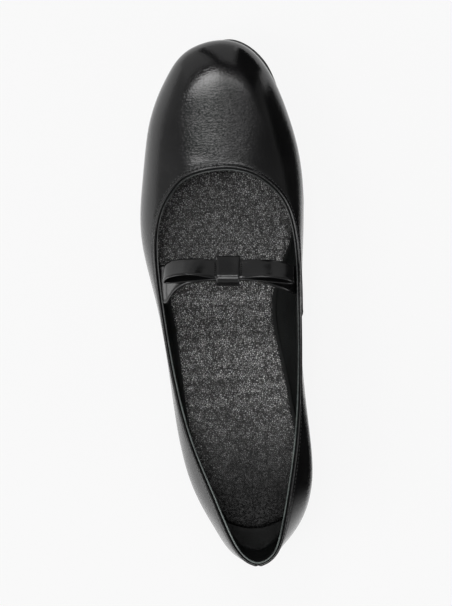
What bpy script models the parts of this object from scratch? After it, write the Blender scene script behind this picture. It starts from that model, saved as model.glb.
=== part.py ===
"""Ballet flat with an instep band and a bow: the left shoe of a pair, standing empty on its sole.

The toe points along +Y, the medial (inner) side is +X and +Z is up. The floor is z = 0 and the
origin is the middle of the floor rectangle under the shoe. Sizes below are millimetres and are
turned into metres when a mesh is made.

The upper is a ring of ribs around the foot. Each rib starts at the feather line, where the upper
meets the sole, goes out to the bulge, the widest line of the last, and ends at the topline.
"""
import math

import bmesh
import bpy
import numpy as np
from mathutils import Euler, Vector

MM = 0.001

# Overall sizes
LENGTH = 252.0            # unit of the stations along the shoe, 0 near the heel and 1 at the toe
BALL_WIDTH = 80.0         # widest part, across the ball
BACK_HEIGHT = 57.0        # topline at the back of the heel, above the floor
WAIST_HEIGHT = 34.0       # lowest topline, at the waist
THROAT_HEIGHT = 41.0      # topline at the throat, on the instep
BULGE_RISE = 16.0         # bulge line above the sole, at the heel
SPINE_SHARE = 0.047       # shift that centres the outline on x = 0, share of the ball width
MIDDLE_STATION = 0.505    # station at y = 0

# Bottom
SOLE_THICKNESS = 3.0
SOLE_MARGIN = 1.5         # outsole beyond the feather line
SOLE_BEVEL = 0.5
HEEL_LIFT = 8.0           # height of the heel block
HEEL_INSET = 0.8          # heel block inside the outsole's edge
HEEL_TAPER = 1.2          # further inset at the floor
TOE_SPRING = 6.0
BREAST_STATION = 0.235    # front of the heel block
SHANK_STATION = 0.245     # where the sole starts down from the heel
TREAD_STATION = 0.56      # where the flat tread starts
SPRING_STATION = 0.72     # where the toe spring starts
SPRING_POWER = 1.8

# Walls and clearances
UPPER_WALL = 2.0
BINDING_WIDTH = 2.4       # raised edge along the topline
BINDING_RAISE = 0.35
LASTING_WIDTH = 8.0       # upper turned in under the insole
LASTING_THICKNESS = 1.4
INSOLE_THICKNESS = 1.8
GAP = 0.3                 # between pieces that touch

# Band and bow
BAND_RISE = 9.0           # middle of the band above the waist of the topline
BAND_WIDTH = 9.4
BAND_THICKNESS = 1.4
BAND_TUCK = 10.0          # depth of the band's ends inside the collar
TUCK_STEPS = (0.3, 0.65, 1.0)      # rails of the band on that depth
BOW_LENGTH = 60.5
BOW_WIDTH = 10.4
BOW_LAYER = 1.0
LATERAL_LOOP = 5.9        # opening of each loop at its rear edge, over that at the knot
MEDIAL_LOOP = 3.6
FRONT_LIFT = 0.45         # opening at the front edge, of that at the rear edge
LOOP_CREST = 0.5          # where a loop is open widest, beyond the knot, of half the bow
LOOP_START = 1.4          # how gently a loop opens beside the knot, a power
LOOP_SQUARE = 10          # how square the fold at a loop's end is, a power
LOOP_END = 0.28           # height of a loop's end over its lower layer, of its opening
BOW_DROOP = 6.0           # fall of the bow's ends
DROOP_POWER = 1.5
KNOT_WIDTH = 10.8
KNOT_WALL = 1.0
KNOT_ROUNDING = 1.2
BOW_TILT = math.radians(-27.0)     # bow leans towards the toe, with the slope of the instep
BOW_TURN = math.radians(-4.2)      # lateral end further forward
BOW_STATION = 0.558
BOW_REACH = -0.022                 # of the ball width
PRESS = 1.5 * GAP                  # between band, bow and knot, through their layers

# Points: ribs on each side of the shoe, points on each rib, and those of band, bow and knot
SIDE_RIBS = 44
LOWER_POINTS = 5
UPPER_POINTS = 8
BAND_PLACES = 25
BAND_RAILS = 6
BOW_TURNS = 72
CORNER_POINTS = 5
DENSE_LOWER = 14
DENSE_UPPER = 26
LOWER_POWER = 2.4
HEEL_BULGE_STATION = 0.0095        # rear end of the bulge line
HEEL_FEATHER_STATION = 0.018       # rear end of the feather line
TOE_FEATHER_STATION = 0.994        # front end of the feather line

# The tables below have one row for each of 13 equal steps of angle, from the back of the heel to
# the tip of the toe, so that rows crowd together at both ends. Reaches are shares of the ball
# width, lateral side negative.

# Bulge line: lateral reach, medial reach, lateral rise, medial rise (of BULGE_RISE)
BULGE = (
    (0.025, 0.025, 1.00, 1.00),
    (-0.118, 0.148, 1.00, 1.00),
    (-0.220, 0.295, 1.00, 1.00),
    (-0.332, 0.381, 0.96, 1.00),
    (-0.398, 0.384, 0.92, 1.06),
    (-0.431, 0.371, 0.90, 1.20),
    (-0.480, 0.386, 0.88, 1.26),
    (-0.545, 0.434, 0.85, 1.04),
    (-0.511, 0.444, 0.78, 0.84),
    (-0.447, 0.382, 0.66, 0.68),
    (-0.333, 0.292, 0.52, 0.53),
    (-0.199, 0.169, 0.42, 0.42),
    (0.000, 0.000, 0.40, 0.40),
)

# Feather line: lateral reach, medial reach
FEATHER = (
    (0.025, 0.025),
    (-0.105, 0.145),
    (-0.205, 0.258),
    (-0.310, 0.338),
    (-0.365, 0.300),
    (-0.385, 0.245),
    (-0.425, 0.215),
    (-0.495, 0.395),
    (-0.480, 0.415),
    (-0.420, 0.360),
    (-0.312, 0.275),
    (-0.185, 0.158),
    (0.000, 0.000),
)

# Topline: station along the length, lateral reach, medial reach, share of the way up from the
# waist to the back, share of the way up from the waist to the throat
COLLAR = (
    (0.012, 0.044, 0.044, 1.00, 0.00),
    (0.030, -0.058, 0.148, 0.98, 0.00),
    (0.075, -0.134, 0.206, 0.89, 0.00),
    (0.150, -0.219, 0.263, 0.70, 0.00),
    (0.250, -0.328, 0.325, 0.42, 0.00),
    (0.365, -0.402, 0.366, 0.14, 0.00),
    (0.480, -0.442, 0.388, 0.00, 0.00),
    (0.595, -0.456, 0.397, 0.00, 0.08),
    (0.672, -0.412, 0.350, 0.00, 0.32),
    (0.7125, -0.331, 0.259, 0.00, 0.62),
    (0.7345, -0.253, 0.165, 0.00, 0.86),
    (0.7455, -0.140, 0.065, 0.00, 0.97),
    (0.7485, -0.030, -0.030, 0.00, 1.00),
)

# Upper arc of each rib: how far in the rounding over the bulge ends, and how much of the rise
# is a straight slope
ARC = (
    (1.00, 0.50),
    (1.00, 0.50),
    (1.00, 0.50),
    (1.00, 0.50),
    (1.00, 0.50),
    (1.00, 0.50),
    (1.00, 0.50),
    (1.00, 0.48),
    (0.86, 0.46),
    (0.66, 0.47),
    (0.48, 0.50),
    (0.37, 0.53),
    (0.34, 0.54),
)

# Band: reach as a share of the ball width, height as a share of BAND_RISE, rear and front edge
# as shares of BAND_WIDTH from the bow's middle line
BAND = (
    (-0.400, 0.02, -1.80, 0.40),
    (-0.360, 0.26, -1.26, 0.42),
    (-0.295, 0.56, -0.80, 0.45),
    (-0.220, 0.80, -0.59, 0.49),
    (-0.120, 0.965, -0.50, 0.50),
    (-0.022, 1.00, -0.50, 0.50),
    (0.080, 0.965, -0.50, 0.50),
    (0.165, 0.80, -0.56, 0.48),
    (0.235, 0.56, -0.80, 0.44),
    (0.300, 0.28, -1.02, 0.40),
    (0.340, 0.05, -1.22, 0.38),
)


def clear_scene():
    """Remove the objects that are in the scene."""
    for old in list(bpy.data.objects):
        bpy.data.objects.remove(old, do_unlink=True)


def material(name, colour, roughness, metallic=0.0):
    """Return a plain Principled material."""
    made = bpy.data.materials.new(name)
    made.use_nodes = True
    shader = made.node_tree.nodes["Principled BSDF"]
    shader.inputs["Base Color"].default_value = (*colour, 1.0)
    shader.inputs["Roughness"].default_value = roughness
    shader.inputs["Metallic"].default_value = metallic
    made.diffuse_color = (*colour, 1.0)
    return made


def ring_spline(values, angles):
    """Smooth closed curve through equally spaced values, read at the given angles."""
    values = np.asarray(values, dtype=float)
    count = len(values)
    eye = np.eye(count)
    system = 4.0 * eye + np.roll(eye, 1, axis=0) + np.roll(eye, -1, axis=0)
    bend = 6.0 * (np.roll(values, 1) - 2.0 * values + np.roll(values, -1))
    bends = np.linalg.solve(system, bend)
    place = (np.asarray(angles) / (2.0 * math.pi) * count) % count
    low = np.floor(place).astype(int) % count
    high = (low + 1) % count
    after = place - np.floor(place)
    before = 1.0 - after
    return (values[low] * before + values[high] * after
            + ((before ** 3 - before) * bends[low] + (after ** 3 - after) * bends[high]) / 6.0)


def open_spline(knots, values, places):
    """Smooth open curve through the values at increasing knots, read at the places."""
    knots = np.asarray(knots, dtype=float)
    values = np.asarray(values, dtype=float)
    places = np.asarray(places, dtype=float)
    slopes = np.gradient(values, knots)
    low = np.clip(np.searchsorted(knots, places, side="right") - 1, 0, len(knots) - 2)
    span = knots[low + 1] - knots[low]
    share = (places - knots[low]) / span
    start = (1.0 + 2.0 * share) * (1.0 - share) ** 2 * values[low]
    start = start + share * (1.0 - share) ** 2 * span * slopes[low]
    end = share ** 2 * (3.0 - 2.0 * share) * values[low + 1]
    return start + end + share ** 2 * (share - 1.0) * span * slopes[low + 1]


def around(table, lateral_column, medial_column, angles):
    """Read a table all round the shoe: heel, lateral side, toe, medial side."""
    lateral = [row[lateral_column] for row in table]
    medial = [row[medial_column] for row in table]
    return ring_spline(lateral + medial[-2:0:-1], angles)


def station_y(station):
    """Distance along the shoe of a station."""
    return (station - MIDDLE_STATION) * LENGTH


def spine_x(reach):
    """Place across the shoe of a reach, a share of the ball width."""
    return (reach + SPINE_SHARE) * BALL_WIDTH


def sole_bottom(y):
    """Height of the outsole's lower face: heel, shank, flat tread and toe spring."""
    station = np.asarray(y) / LENGTH + MIDDLE_STATION
    shank = np.clip((station - SHANK_STATION) / (TREAD_STATION - SHANK_STATION), 0.0, 1.0)
    spring = np.clip((station - SPRING_STATION) / (1.0 - SPRING_STATION), 0.0, None)
    fall = 1.0 - shank ** 2 * (3.0 - 2.0 * shank)
    return HEEL_LIFT * fall + TOE_SPRING * spring ** SPRING_POWER


def sole_top(y):
    """Height of the outsole's upper face."""
    return sole_bottom(y) + SOLE_THICKNESS


def rib_angles():
    """Angles of all ribs: from the heel along the lateral side to the toe and back."""
    step = math.pi / SIDE_RIBS
    return (np.arange(2 * SIDE_RIBS) + 0.5) * step


def feather_line(angles):
    """Lower outer corner of the upper."""
    share = (1.0 - np.cos(angles)) / 2.0
    x = spine_x(around(FEATHER, 0, 1, angles))
    y = station_y(HEEL_FEATHER_STATION + share * (TOE_FEATHER_STATION - HEEL_FEATHER_STATION))
    return np.stack([x, y, sole_top(y) + GAP], axis=-1)


def bulge_line(angles):
    """Widest line of the last."""
    x = spine_x(around(BULGE, 0, 1, angles))
    share = (1.0 - np.cos(angles)) / 2.0
    y = station_y(HEEL_BULGE_STATION + share * (1.0 - HEEL_BULGE_STATION))
    rise = BULGE_RISE * around(BULGE, 2, 3, angles)
    return np.stack([x, y, sole_top(y) + rise], axis=-1)


def top_line(angles):
    """Outer edge of the topline."""
    x = spine_x(around(COLLAR, 1, 2, angles))
    y = station_y(around(COLLAR, 0, 0, angles))
    back = around(COLLAR, 3, 3, angles)
    throat = around(COLLAR, 4, 4, angles)
    z = WAIST_HEIGHT + back * (BACK_HEIGHT - WAIST_HEIGHT)
    z = z + throat * (THROAT_HEIGHT - WAIST_HEIGHT)
    return np.stack([x, y, z], axis=-1)


def dense_ribs(angles):
    """Outer surface of the upper as many points on each rib, feather line to topline."""
    feather = feather_line(angles)[:, None, :]
    bulge = bulge_line(angles)[:, None, :]
    top = top_line(angles)[:, None, :]
    rounding = around(ARC, 0, 0, angles)[:, None]
    slope = around(ARC, 1, 1, angles)[:, None]

    up = np.linspace(0.0, 1.0, DENSE_LOWER)[None, :-1]
    out = 1.0 - (1.0 - up) ** LOWER_POWER
    share = np.stack([out, out, up], axis=-1)
    lower = feather + (bulge - feather) * share

    inward = np.linspace(0.0, 1.0, DENSE_UPPER)[None, :] ** 2
    turn = np.clip(inward / rounding, 0.0, 1.0)
    rise = (1.0 - slope) * np.sqrt(1.0 - (1.0 - turn) ** 2) + slope * inward
    inward = np.broadcast_to(inward, rise.shape)
    share = np.stack([inward, inward, rise], axis=-1)
    upper = bulge + (top - bulge) * share
    return np.concatenate([lower, upper], axis=1)


def along(curve, distances):
    """Points at the given distances along a curve of many points."""
    steps = np.linalg.norm(np.diff(curve, axis=0), axis=1)
    travelled = np.concatenate([[0.0], np.cumsum(steps)])
    return np.stack([np.interp(distances, travelled, curve[:, k]) for k in range(3)], axis=-1)


def rib_points(angles):
    """Outer surface of the upper: a few points on each rib, with the binding's two last."""
    ribs = []
    for curve in dense_ribs(angles):
        total = np.linalg.norm(np.diff(curve, axis=0), axis=1).sum()
        lower = np.linalg.norm(np.diff(curve[:DENSE_LOWER], axis=0), axis=1).sum()
        low = np.linspace(0.0, lower, LOWER_POINTS)
        high = np.linspace(lower, total - BINDING_WIDTH - BINDING_RAISE, UPPER_POINTS + 1)[1:]
        edge = [total - BINDING_WIDTH, total - BINDING_WIDTH / 2.0, total]
        ribs.append(along(curve, np.concatenate([low, high, edge])))
    return np.stack(ribs)


def directions(ribs):
    """Outward normal and upward tangent at each point of a ring of ribs."""
    across = np.roll(ribs, -1, axis=0) - np.roll(ribs, 1, axis=0)
    upward = np.gradient(ribs, axis=1)
    upward /= np.linalg.norm(upward, axis=-1, keepdims=True)
    normal = np.cross(upward, across)
    normal /= np.linalg.norm(normal, axis=-1, keepdims=True)
    return normal, upward


def plan_inward(line):
    """Unit vectors in plan that point into the shoe from a closed line around it."""
    across = np.roll(line, -1, axis=0) - np.roll(line, 1, axis=0)
    inward = np.stack([across[:, 1], -across[:, 0], np.zeros(len(line))], axis=-1)
    return inward / np.linalg.norm(inward, axis=1, keepdims=True)


def on_sole(line, height):
    """A line in plan laid at a height above the outsole's upper face."""
    laid = line.copy()
    laid[:, 2] = sole_top(laid[:, 1]) + height
    return laid


def inner_ribs(angles):
    """Inner face of the upper's wall, feather line to topline."""
    ribs = rib_points(angles)
    normal, _ = directions(ribs)
    return ribs - normal * UPPER_WALL


def wall_at_height(angles, height):
    """Where the upper's inner face is at a height above the outsole's upper face."""
    points = []
    for curve in inner_ribs(angles):
        above = curve[:, 2] - sole_top(curve[:, 1])
        order = np.argsort(above)
        points.append([np.interp(height, above[order], curve[order, k]) for k in range(3)])
    return np.array(points)


def wall_reach(side, y, z):
    """Place across the shoe of the upper's inner face at y and z; side is -1 or 1."""
    angles = rib_angles()
    crossings = []
    for curve in inner_ribs(angles):
        middle = curve[len(curve) // 2]
        if (middle[0] - spine_x(0.0)) * side > 0.0 and abs(middle[1]) < LENGTH / 3.0:
            order = np.argsort(curve[:, 2])
            crossings.append([np.interp(z, curve[order, 2], curve[order, k]) for k in (1, 0)])
    crossings = np.array(sorted(crossings))
    return float(np.interp(y, crossings[:, 0], crossings[:, 1]))


def mesh_object(name, points, faces, finish):
    """Make a smooth-shaded object from millimetre points and faces."""
    mesh = bpy.data.meshes.new(name)
    mesh.from_pydata([tuple(float(v) * MM for v in point) for point in points], [], faces)
    shape = bmesh.new()
    shape.from_mesh(mesh)
    bmesh.ops.recalc_face_normals(shape, faces=shape.faces)
    shape.to_mesh(mesh)
    shape.free()
    mesh.shade_smooth()
    mesh.set_sharp_from_angle(angle=math.radians(40.0))
    mesh.materials.append(finish)
    made = bpy.data.objects.new(name, mesh)
    bpy.context.scene.collection.objects.link(made)
    return made


def ring_solid(name, grid, finish):
    """Solid whose sections are closed and follow each other round a closed path."""
    turns, section = grid.shape[:2]
    faces = []
    for i in range(turns):
        for j in range(section):
            here = i * section
            there = (i + 1) % turns * section
            following = (j + 1) % section
            faces.append((here + j, here + following, there + following, there + j))
    return mesh_object(name, grid.reshape(-1, 3), faces, finish)


def ladder_solid(name, lateral, medial, finish):
    """Solid between matching rails of its two sides, listed from its top edge to its bottom."""
    rails, count = lateral.shape[:2]
    points = np.concatenate([lateral.reshape(-1, 3), medial.reshape(-1, 3)])
    offset = rails * count
    faces = []
    for i in range(count - 1):
        for j in range(rails - 1):
            corner = j * count + i
            faces.append((corner, corner + 1, corner + count + 1, corner + count))
            corner += offset
            faces.append((corner, corner + count, corner + count + 1, corner + 1))
        for rail in (0, (rails - 1) * count):
            faces.append((rail + i, rail + i + 1, offset + rail + i + 1, offset + rail + i))
    for end in (0, count - 1):
        for j in range(rails - 1):
            corner = j * count + end
            below = corner + count
            faces.append((corner, below, offset + below, offset + corner))
    return mesh_object(name, points, faces, finish)


def split_sides(line):
    """Lateral half of a closed line from heel to toe, and the medial half the same way."""
    return line[:SIDE_RIBS], line[:SIDE_RIBS - 1:-1]


def make_upper(finish):
    """Hollow upper: outer face, raised binding, rolled topline, inner face, lasted edge."""
    angles = rib_angles()
    outer = rib_points(angles)
    normal, upward = directions(outer)
    inner = outer - normal * UPPER_WALL
    raised = outer.copy()
    raised[:, -3:] += normal[:, -3:] * BINDING_RAISE

    middle = (raised[:, -1] + inner[:, -1]) / 2.0
    radius = (UPPER_WALL + BINDING_RAISE) / 2.0
    roll = []
    for turn in (math.pi / 4.0, math.pi / 2.0, 3.0 * math.pi / 4.0):
        roll.append(middle + radius * (math.cos(turn) * normal[:, -1]
                                       + math.sin(turn) * upward[:, -1]))
    roll = np.stack(roll, axis=1)

    feather = feather_line(angles)
    turned_in = feather + plan_inward(feather) * LASTING_WIDTH
    under = on_sole(turned_in, GAP)
    over = on_sole(turned_in, GAP + LASTING_THICKNESS)
    corner = wall_at_height(angles, GAP + LASTING_THICKNESS)
    walls = []
    for rib, base in zip(inner, corner):
        keep = rib[:, 2] > base[2] + LASTING_THICKNESS
        first = int(np.argmax(keep))
        walls.append(np.concatenate([np.linspace(base, rib[first], first + 1)[:-1], rib[first:]]))
    inner = np.stack(walls)
    parts = [raised, roll, inner[:, ::-1], over[:, None, :], under[:, None, :]]
    return ring_solid("upper", np.concatenate(parts, axis=1), finish)


def sole_outline(angles, margin):
    """Outline of the bottom in plan, a margin outside the feather line."""
    line = feather_line(angles)
    return line - plan_inward(line) * margin


def make_outsole(finish):
    """Flat-bottomed sole with arch, toe spring and a small bevel at its lower edge."""
    angles = rib_angles()
    edge = sole_outline(angles, SOLE_MARGIN)
    foot = sole_outline(angles, SOLE_MARGIN - SOLE_BEVEL)
    rails = []
    for line, height in ((edge, 0.0), (edge, SOLE_BEVEL - SOLE_THICKNESS), (foot, -SOLE_THICKNESS)):
        rails.append(split_sides(on_sole(line, height)))
    lateral = np.stack([rail[0] for rail in rails])
    medial = np.stack([rail[1] for rail in rails])
    return ladder_solid("outsole", lateral, medial, finish)


def make_heel(finish):
    """Low heel block under the seat, straight across at its breast."""
    share = BREAST_STATION - HEEL_FEATHER_STATION
    share = share / (TOE_FEATHER_STATION - HEEL_FEATHER_STATION)
    breast = math.acos(1.0 - 2.0 * share)
    count = SIDE_RIBS // 2
    half = (np.arange(count) + 0.5) / (count - 0.5) * breast
    angles = np.concatenate([half, 2.0 * math.pi - half[::-1]])
    line = feather_line(angles)
    fine = np.linspace(0.0, 2.0 * math.pi, 721)[:-1]
    outline = feather_line(fine)
    inward = plan_inward(outline)
    pull = np.stack([np.interp(angles, fine, inward[:, k]) for k in range(3)], axis=-1)
    pull /= np.linalg.norm(pull, axis=1, keepdims=True)
    top = line - pull * (SOLE_MARGIN - HEEL_INSET)
    floor = line - pull * (SOLE_MARGIN - HEEL_INSET - HEEL_TAPER)
    for rail in (top, floor):
        breast_y = station_y(BREAST_STATION)
        rail[count - 1, 1] = breast_y
        rail[count, 1] = breast_y
    top[:, 2] = sole_bottom(top[:, 1]) - GAP
    floor[:, 2] = 0.0
    lateral = np.stack([top[:count], floor[:count]])
    medial = np.stack([top[:count - 1:-1], floor[:count - 1:-1]])
    return ladder_solid("heel", lateral, medial, finish)


def make_insole(finish):
    """Footbed: its rim lies on the turned-in edge, its middle reaches down to the outsole."""
    angles = rib_angles()
    rim_height = GAP + LASTING_THICKNESS + GAP
    top_height = rim_height + INSOLE_THICKNESS
    feather = feather_line(angles)
    inward = plan_inward(feather)
    step = feather + inward * (LASTING_WIDTH + GAP)
    wall_top = wall_at_height(angles, top_height)
    wall_rim = wall_at_height(angles, rim_height)
    lines = (
        on_sole(wall_top + inward * 2.0 * GAP, top_height),
        on_sole(wall_rim + inward * 2.0 * GAP, rim_height),
        on_sole(step, rim_height),
        on_sole(step, GAP),
    )
    rails = [split_sides(line) for line in lines]
    lateral = np.stack([rail[0] for rail in rails])
    medial = np.stack([rail[1] for rail in rails])
    return ladder_solid("insole", lateral, medial, finish)


def bow_seat():
    """Place and turn of the bow: the middle of its knot, on the band."""
    place = Vector((spine_x(BOW_REACH), station_y(BOW_STATION), WAIST_HEIGHT + BAND_RISE))
    turn = Euler((BOW_TILT, 0.0, BOW_TURN), "XYZ")
    return place, turn


def strap_section(width, thickness):
    """Section of a flat strap with eased edges: offsets across it and through it."""
    ease = thickness * 0.3
    half = width / 2.0
    deep = thickness / 2.0
    corners = ((-half + ease, deep), (half - ease, deep), (half, deep - ease),
               (half, ease - deep), (half - ease, -deep), (ease - half, -deep),
               (-half, ease - deep), (-half, deep - ease))
    return np.array(corners)


def make_band(finish):
    """Instep band: a flat strap that arches over the opening, its ends inside the collar."""
    place, turn = bow_seat()
    knots = [row[0] for row in BAND]
    places = np.linspace(knots[0], knots[-1], BAND_PLACES)
    lift, rear, front = (open_spline(knots, [row[k] for row in BAND], places) for k in (1, 2, 3))
    tilt = math.tan(-BOW_TILT)
    lean = math.tan(BOW_TURN)
    below = BOW_LAYER + PRESS + BAND_THICKNESS / 2.0
    shares = np.linspace(0.0, 1.0, BAND_RAILS)
    strips = []
    for reach, height, back, ahead in zip(places, lift, rear, front):
        x = spine_x(reach)
        y_middle = place.y + lean * (x - place.x) + below * math.sin(BOW_TILT)
        across = (back + shares * (ahead - back)) * BAND_WIDTH * math.cos(BOW_TILT)
        z_middle = place.z - below * math.cos(BOW_TILT) - BAND_RISE * (1.0 - height)
        z = z_middle - across * tilt * math.sqrt(max(height, 0.0))
        strips.append(np.stack([np.full(BAND_RAILS, x), y_middle + across, z], axis=-1))
    for end, side in ((0, -1), (-1, 1)):
        lip = strips[end]
        tucked = []
        for step in TUCK_STEPS:
            z = np.minimum(lip[:, 2], WAIST_HEIGHT) - step * BAND_TUCK
            stand = GAP + BAND_THICKNESS / 2.0
            x = [wall_reach(side, y, h) - side * stand for y, h in zip(lip[:, 1], z)]
            tucked.append(np.stack([np.array(x), lip[:, 1], z], axis=-1))
        strips = tucked[::-1] + strips if end == 0 else strips + tucked
    middle = np.stack(strips)
    along_band = np.gradient(middle, axis=0)
    over_band = np.gradient(middle, axis=1)
    normal = np.cross(along_band, over_band)
    normal /= np.linalg.norm(normal, axis=-1, keepdims=True)
    upper_face = middle + normal * BAND_THICKNESS / 2.0
    lower_face = middle - normal * BAND_THICKNESS / 2.0
    loops = np.concatenate([upper_face, lower_face[:, ::-1]], axis=1)
    return tube_solid("instep_band", loops, finish)


def tube_solid(name, grid, finish):
    """Solid whose closed sections follow an open path, closed by a face at each end."""
    count, section = grid.shape[:2]
    half = section // 2
    faces = []
    for i in range(count - 1):
        for j in range(section):
            following = (j + 1) % section
            here = i * section
            faces.append((here + j, here + following, here + section + following,
                          here + section + j))
    for start in (0, (count - 1) * section):
        for j in range(half - 1):
            faces.append((start + j, start + j + 1, start + section - 2 - j,
                          start + section - 1 - j))
    return mesh_object(name, grid.reshape(-1, 3), faces, finish)


def bow_path(lift):
    """Middle line of the bow's strap: one flattened ring, pinched in the middle by the knot."""
    pinch = (BOW_LAYER + GAP) / 2.0
    turns = (np.arange(BOW_TURNS) + 0.5) / BOW_TURNS * 2.0 * math.pi
    path = []
    for turn in turns:
        share = math.cos(turn)
        reach = abs(share)
        loop = lift * (MEDIAL_LOOP if share > 0.0 else LATERAL_LOOP)
        clear = max(reach - (KNOT_WIDTH + BOW_LAYER) / BOW_LENGTH, 0.0)
        opening = min(clear / LOOP_CREST, 1.0)
        swell = loop * opening ** LOOP_START * (1.0 + LOOP_START * (1.0 - opening))
        droop = BOW_DROOP * clear ** DROOP_POWER
        bottom = -pinch - droop
        top = pinch + swell - droop
        end = bottom + LOOP_END * loop
        close = math.sqrt(1.0 - reach ** LOOP_SQUARE)
        layer = top if math.sin(turn) > 0.0 else bottom
        path.append((share * BOW_LENGTH / 2.0, end + (layer - end) * close))
    return np.array(path)


def wrap_strap(name, paths, section, finish, upright):
    """Closed strap whose section's points follow a ring each; upright rings lie along the shoe."""
    grid = np.zeros((len(paths[0]), len(section), 3))
    for j, (path, (sideways, through)) in enumerate(zip(paths, section)):
        ahead = np.roll(path, -1, axis=0) - np.roll(path, 1, axis=0)
        ahead /= np.linalg.norm(ahead, axis=1, keepdims=True)
        ring = path + np.stack([ahead[:, 1], -ahead[:, 0]], axis=-1) * through
        grid[:, j, 0 if upright else 1] = sideways
        grid[:, j, 1 if upright else 0] = ring[:, 0]
        grid[:, j, 2] = ring[:, 1]
    return ring_solid(name, grid, finish)


def make_bow(finish):
    """Bow: both loops in one strap, lying on the band, open wider at the rear than in front."""
    section = strap_section(BOW_WIDTH, BOW_LAYER)
    forward = section[:, 0] / BOW_WIDTH + 0.5
    paths = [bow_path(1.0 + share * (FRONT_LIFT - 1.0)) for share in forward]
    bow = wrap_strap("bow", paths, section, finish, upright=False)
    seat(bow)
    return bow


def make_knot(finish):
    """Knot: a ring round bow and band."""
    length = max(BAND_WIDTH, BOW_WIDTH) + 2.0 * GAP + KNOT_WALL
    high = BOW_LAYER + PRESS + KNOT_WALL / 2.0
    low = -(BOW_LAYER + PRESS + BAND_THICKNESS + 2.0 * GAP + KNOT_WALL / 2.0)
    path = []
    corners = ((1, high, 0.0), (-1, high, 0.5), (-1, low, 1.0), (1, low, 1.5))
    for side, height, start in corners:
        centre_y = side * (length / 2.0 - KNOT_ROUNDING)
        centre_z = height - math.copysign(KNOT_ROUNDING, height)
        for k in range(CORNER_POINTS):
            turn = math.pi * (start + k / (CORNER_POINTS - 1) / 2.0)
            path.append((centre_y + KNOT_ROUNDING * math.cos(turn),
                         centre_z + KNOT_ROUNDING * math.sin(turn)))
    section = strap_section(KNOT_WIDTH, KNOT_WALL)
    paths = [np.array(path)] * len(section)
    knot = wrap_strap("bow_knot", paths, section, finish, upright=True)
    seat(knot)
    return knot


def seat(piece):
    """Put a piece of the bow in its place on the band."""
    place, turn = bow_seat()
    piece.location = place * MM
    piece.rotation_euler = turn


def main():
    clear_scene()
    leather = material("black_leather", (0.012, 0.012, 0.013), 0.35)
    sock = material("pebbled_sock", (0.018, 0.018, 0.018), 0.5)
    rubber = material("black_rubber", (0.014, 0.014, 0.014), 0.6)
    make_upper(leather)
    make_outsole(rubber)
    make_heel(rubber)
    make_insole(sock)
    make_band(leather)
    make_bow(leather)
    make_knot(leather)


main()
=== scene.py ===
"""Looks of the black ballet flat: the left shoe of a pair, photographed from straight above.

Shapes are drawn in millimetres in the part's frame: +Y is the toe, +X the medial side, z = 0 the
floor. The upper is a ring of ribs from the feather line over the bulge to the topline, with the
rolled edge, its groove and the lining drawn as one profile.
"""
import math

import bmesh
import bpy
import numpy as np
from mathutils import Euler, Matrix, Vector


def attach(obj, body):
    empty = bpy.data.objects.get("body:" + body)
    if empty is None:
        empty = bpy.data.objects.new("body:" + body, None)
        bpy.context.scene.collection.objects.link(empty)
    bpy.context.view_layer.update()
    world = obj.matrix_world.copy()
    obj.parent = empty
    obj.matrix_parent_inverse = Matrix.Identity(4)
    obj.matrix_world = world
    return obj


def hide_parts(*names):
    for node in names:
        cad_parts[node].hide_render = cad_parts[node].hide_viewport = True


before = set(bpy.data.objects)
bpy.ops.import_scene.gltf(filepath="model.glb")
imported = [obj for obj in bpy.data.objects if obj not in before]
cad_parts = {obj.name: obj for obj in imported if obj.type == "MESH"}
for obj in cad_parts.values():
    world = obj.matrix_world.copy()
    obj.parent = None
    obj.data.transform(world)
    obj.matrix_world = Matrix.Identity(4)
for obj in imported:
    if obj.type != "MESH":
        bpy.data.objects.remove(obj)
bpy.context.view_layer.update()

MM = 0.001

# Sizes of the last and the sole, as in the part
LENGTH = 252.0
BALL_WIDTH = 80.0
BACK_HEIGHT = 57.0
WAIST_HEIGHT = 34.0
THROAT_HEIGHT = 41.0
BULGE_RISE = 16.0
SPINE_SHARE = 0.047
MIDDLE_STATION = 0.505
SOLE_THICKNESS = 3.0
SOLE_MARGIN = 1.5
HEEL_LIFT = 8.0
HEEL_INSET = 0.8
HEEL_TAPER = 1.2
TOE_SPRING = 6.0
BREAST_STATION = 0.235
SHANK_STATION = 0.245
TREAD_STATION = 0.56
SPRING_STATION = 0.72
SPRING_POWER = 1.8
UPPER_WALL = 2.0
LASTING_WIDTH = 8.0
LASTING_THICKNESS = 1.4
INSOLE_THICKNESS = 1.8
GAP = 0.3
BAND_RISE = 9.0
BAND_WIDTH = 9.4
BAND_THICKNESS = 1.4
BAND_TUCK = 10.0
BOW_LENGTH = 60.5
BOW_WIDTH = 10.4
BOW_LAYER = 1.0
LATERAL_LOOP = 5.9
MEDIAL_LOOP = 3.6
FRONT_LIFT = 0.45
LOOP_CREST = 0.5
LOOP_START = 1.4
LOOP_SQUARE = 10
LOOP_END = 0.28
BOW_DROOP = 6.0
DROOP_POWER = 1.5
KNOT_WIDTH = 10.8
KNOT_WALL = 1.0
BOW_TILT = math.radians(-27.0)
BOW_TURN = math.radians(-4.2)
BOW_STATION = 0.558
BOW_REACH = -0.022
PRESS = 1.5 * GAP
HEEL_BULGE_STATION = 0.0095
HEEL_FEATHER_STATION = 0.018
TOE_FEATHER_STATION = 0.994
LOWER_POWER = 2.4

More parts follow.
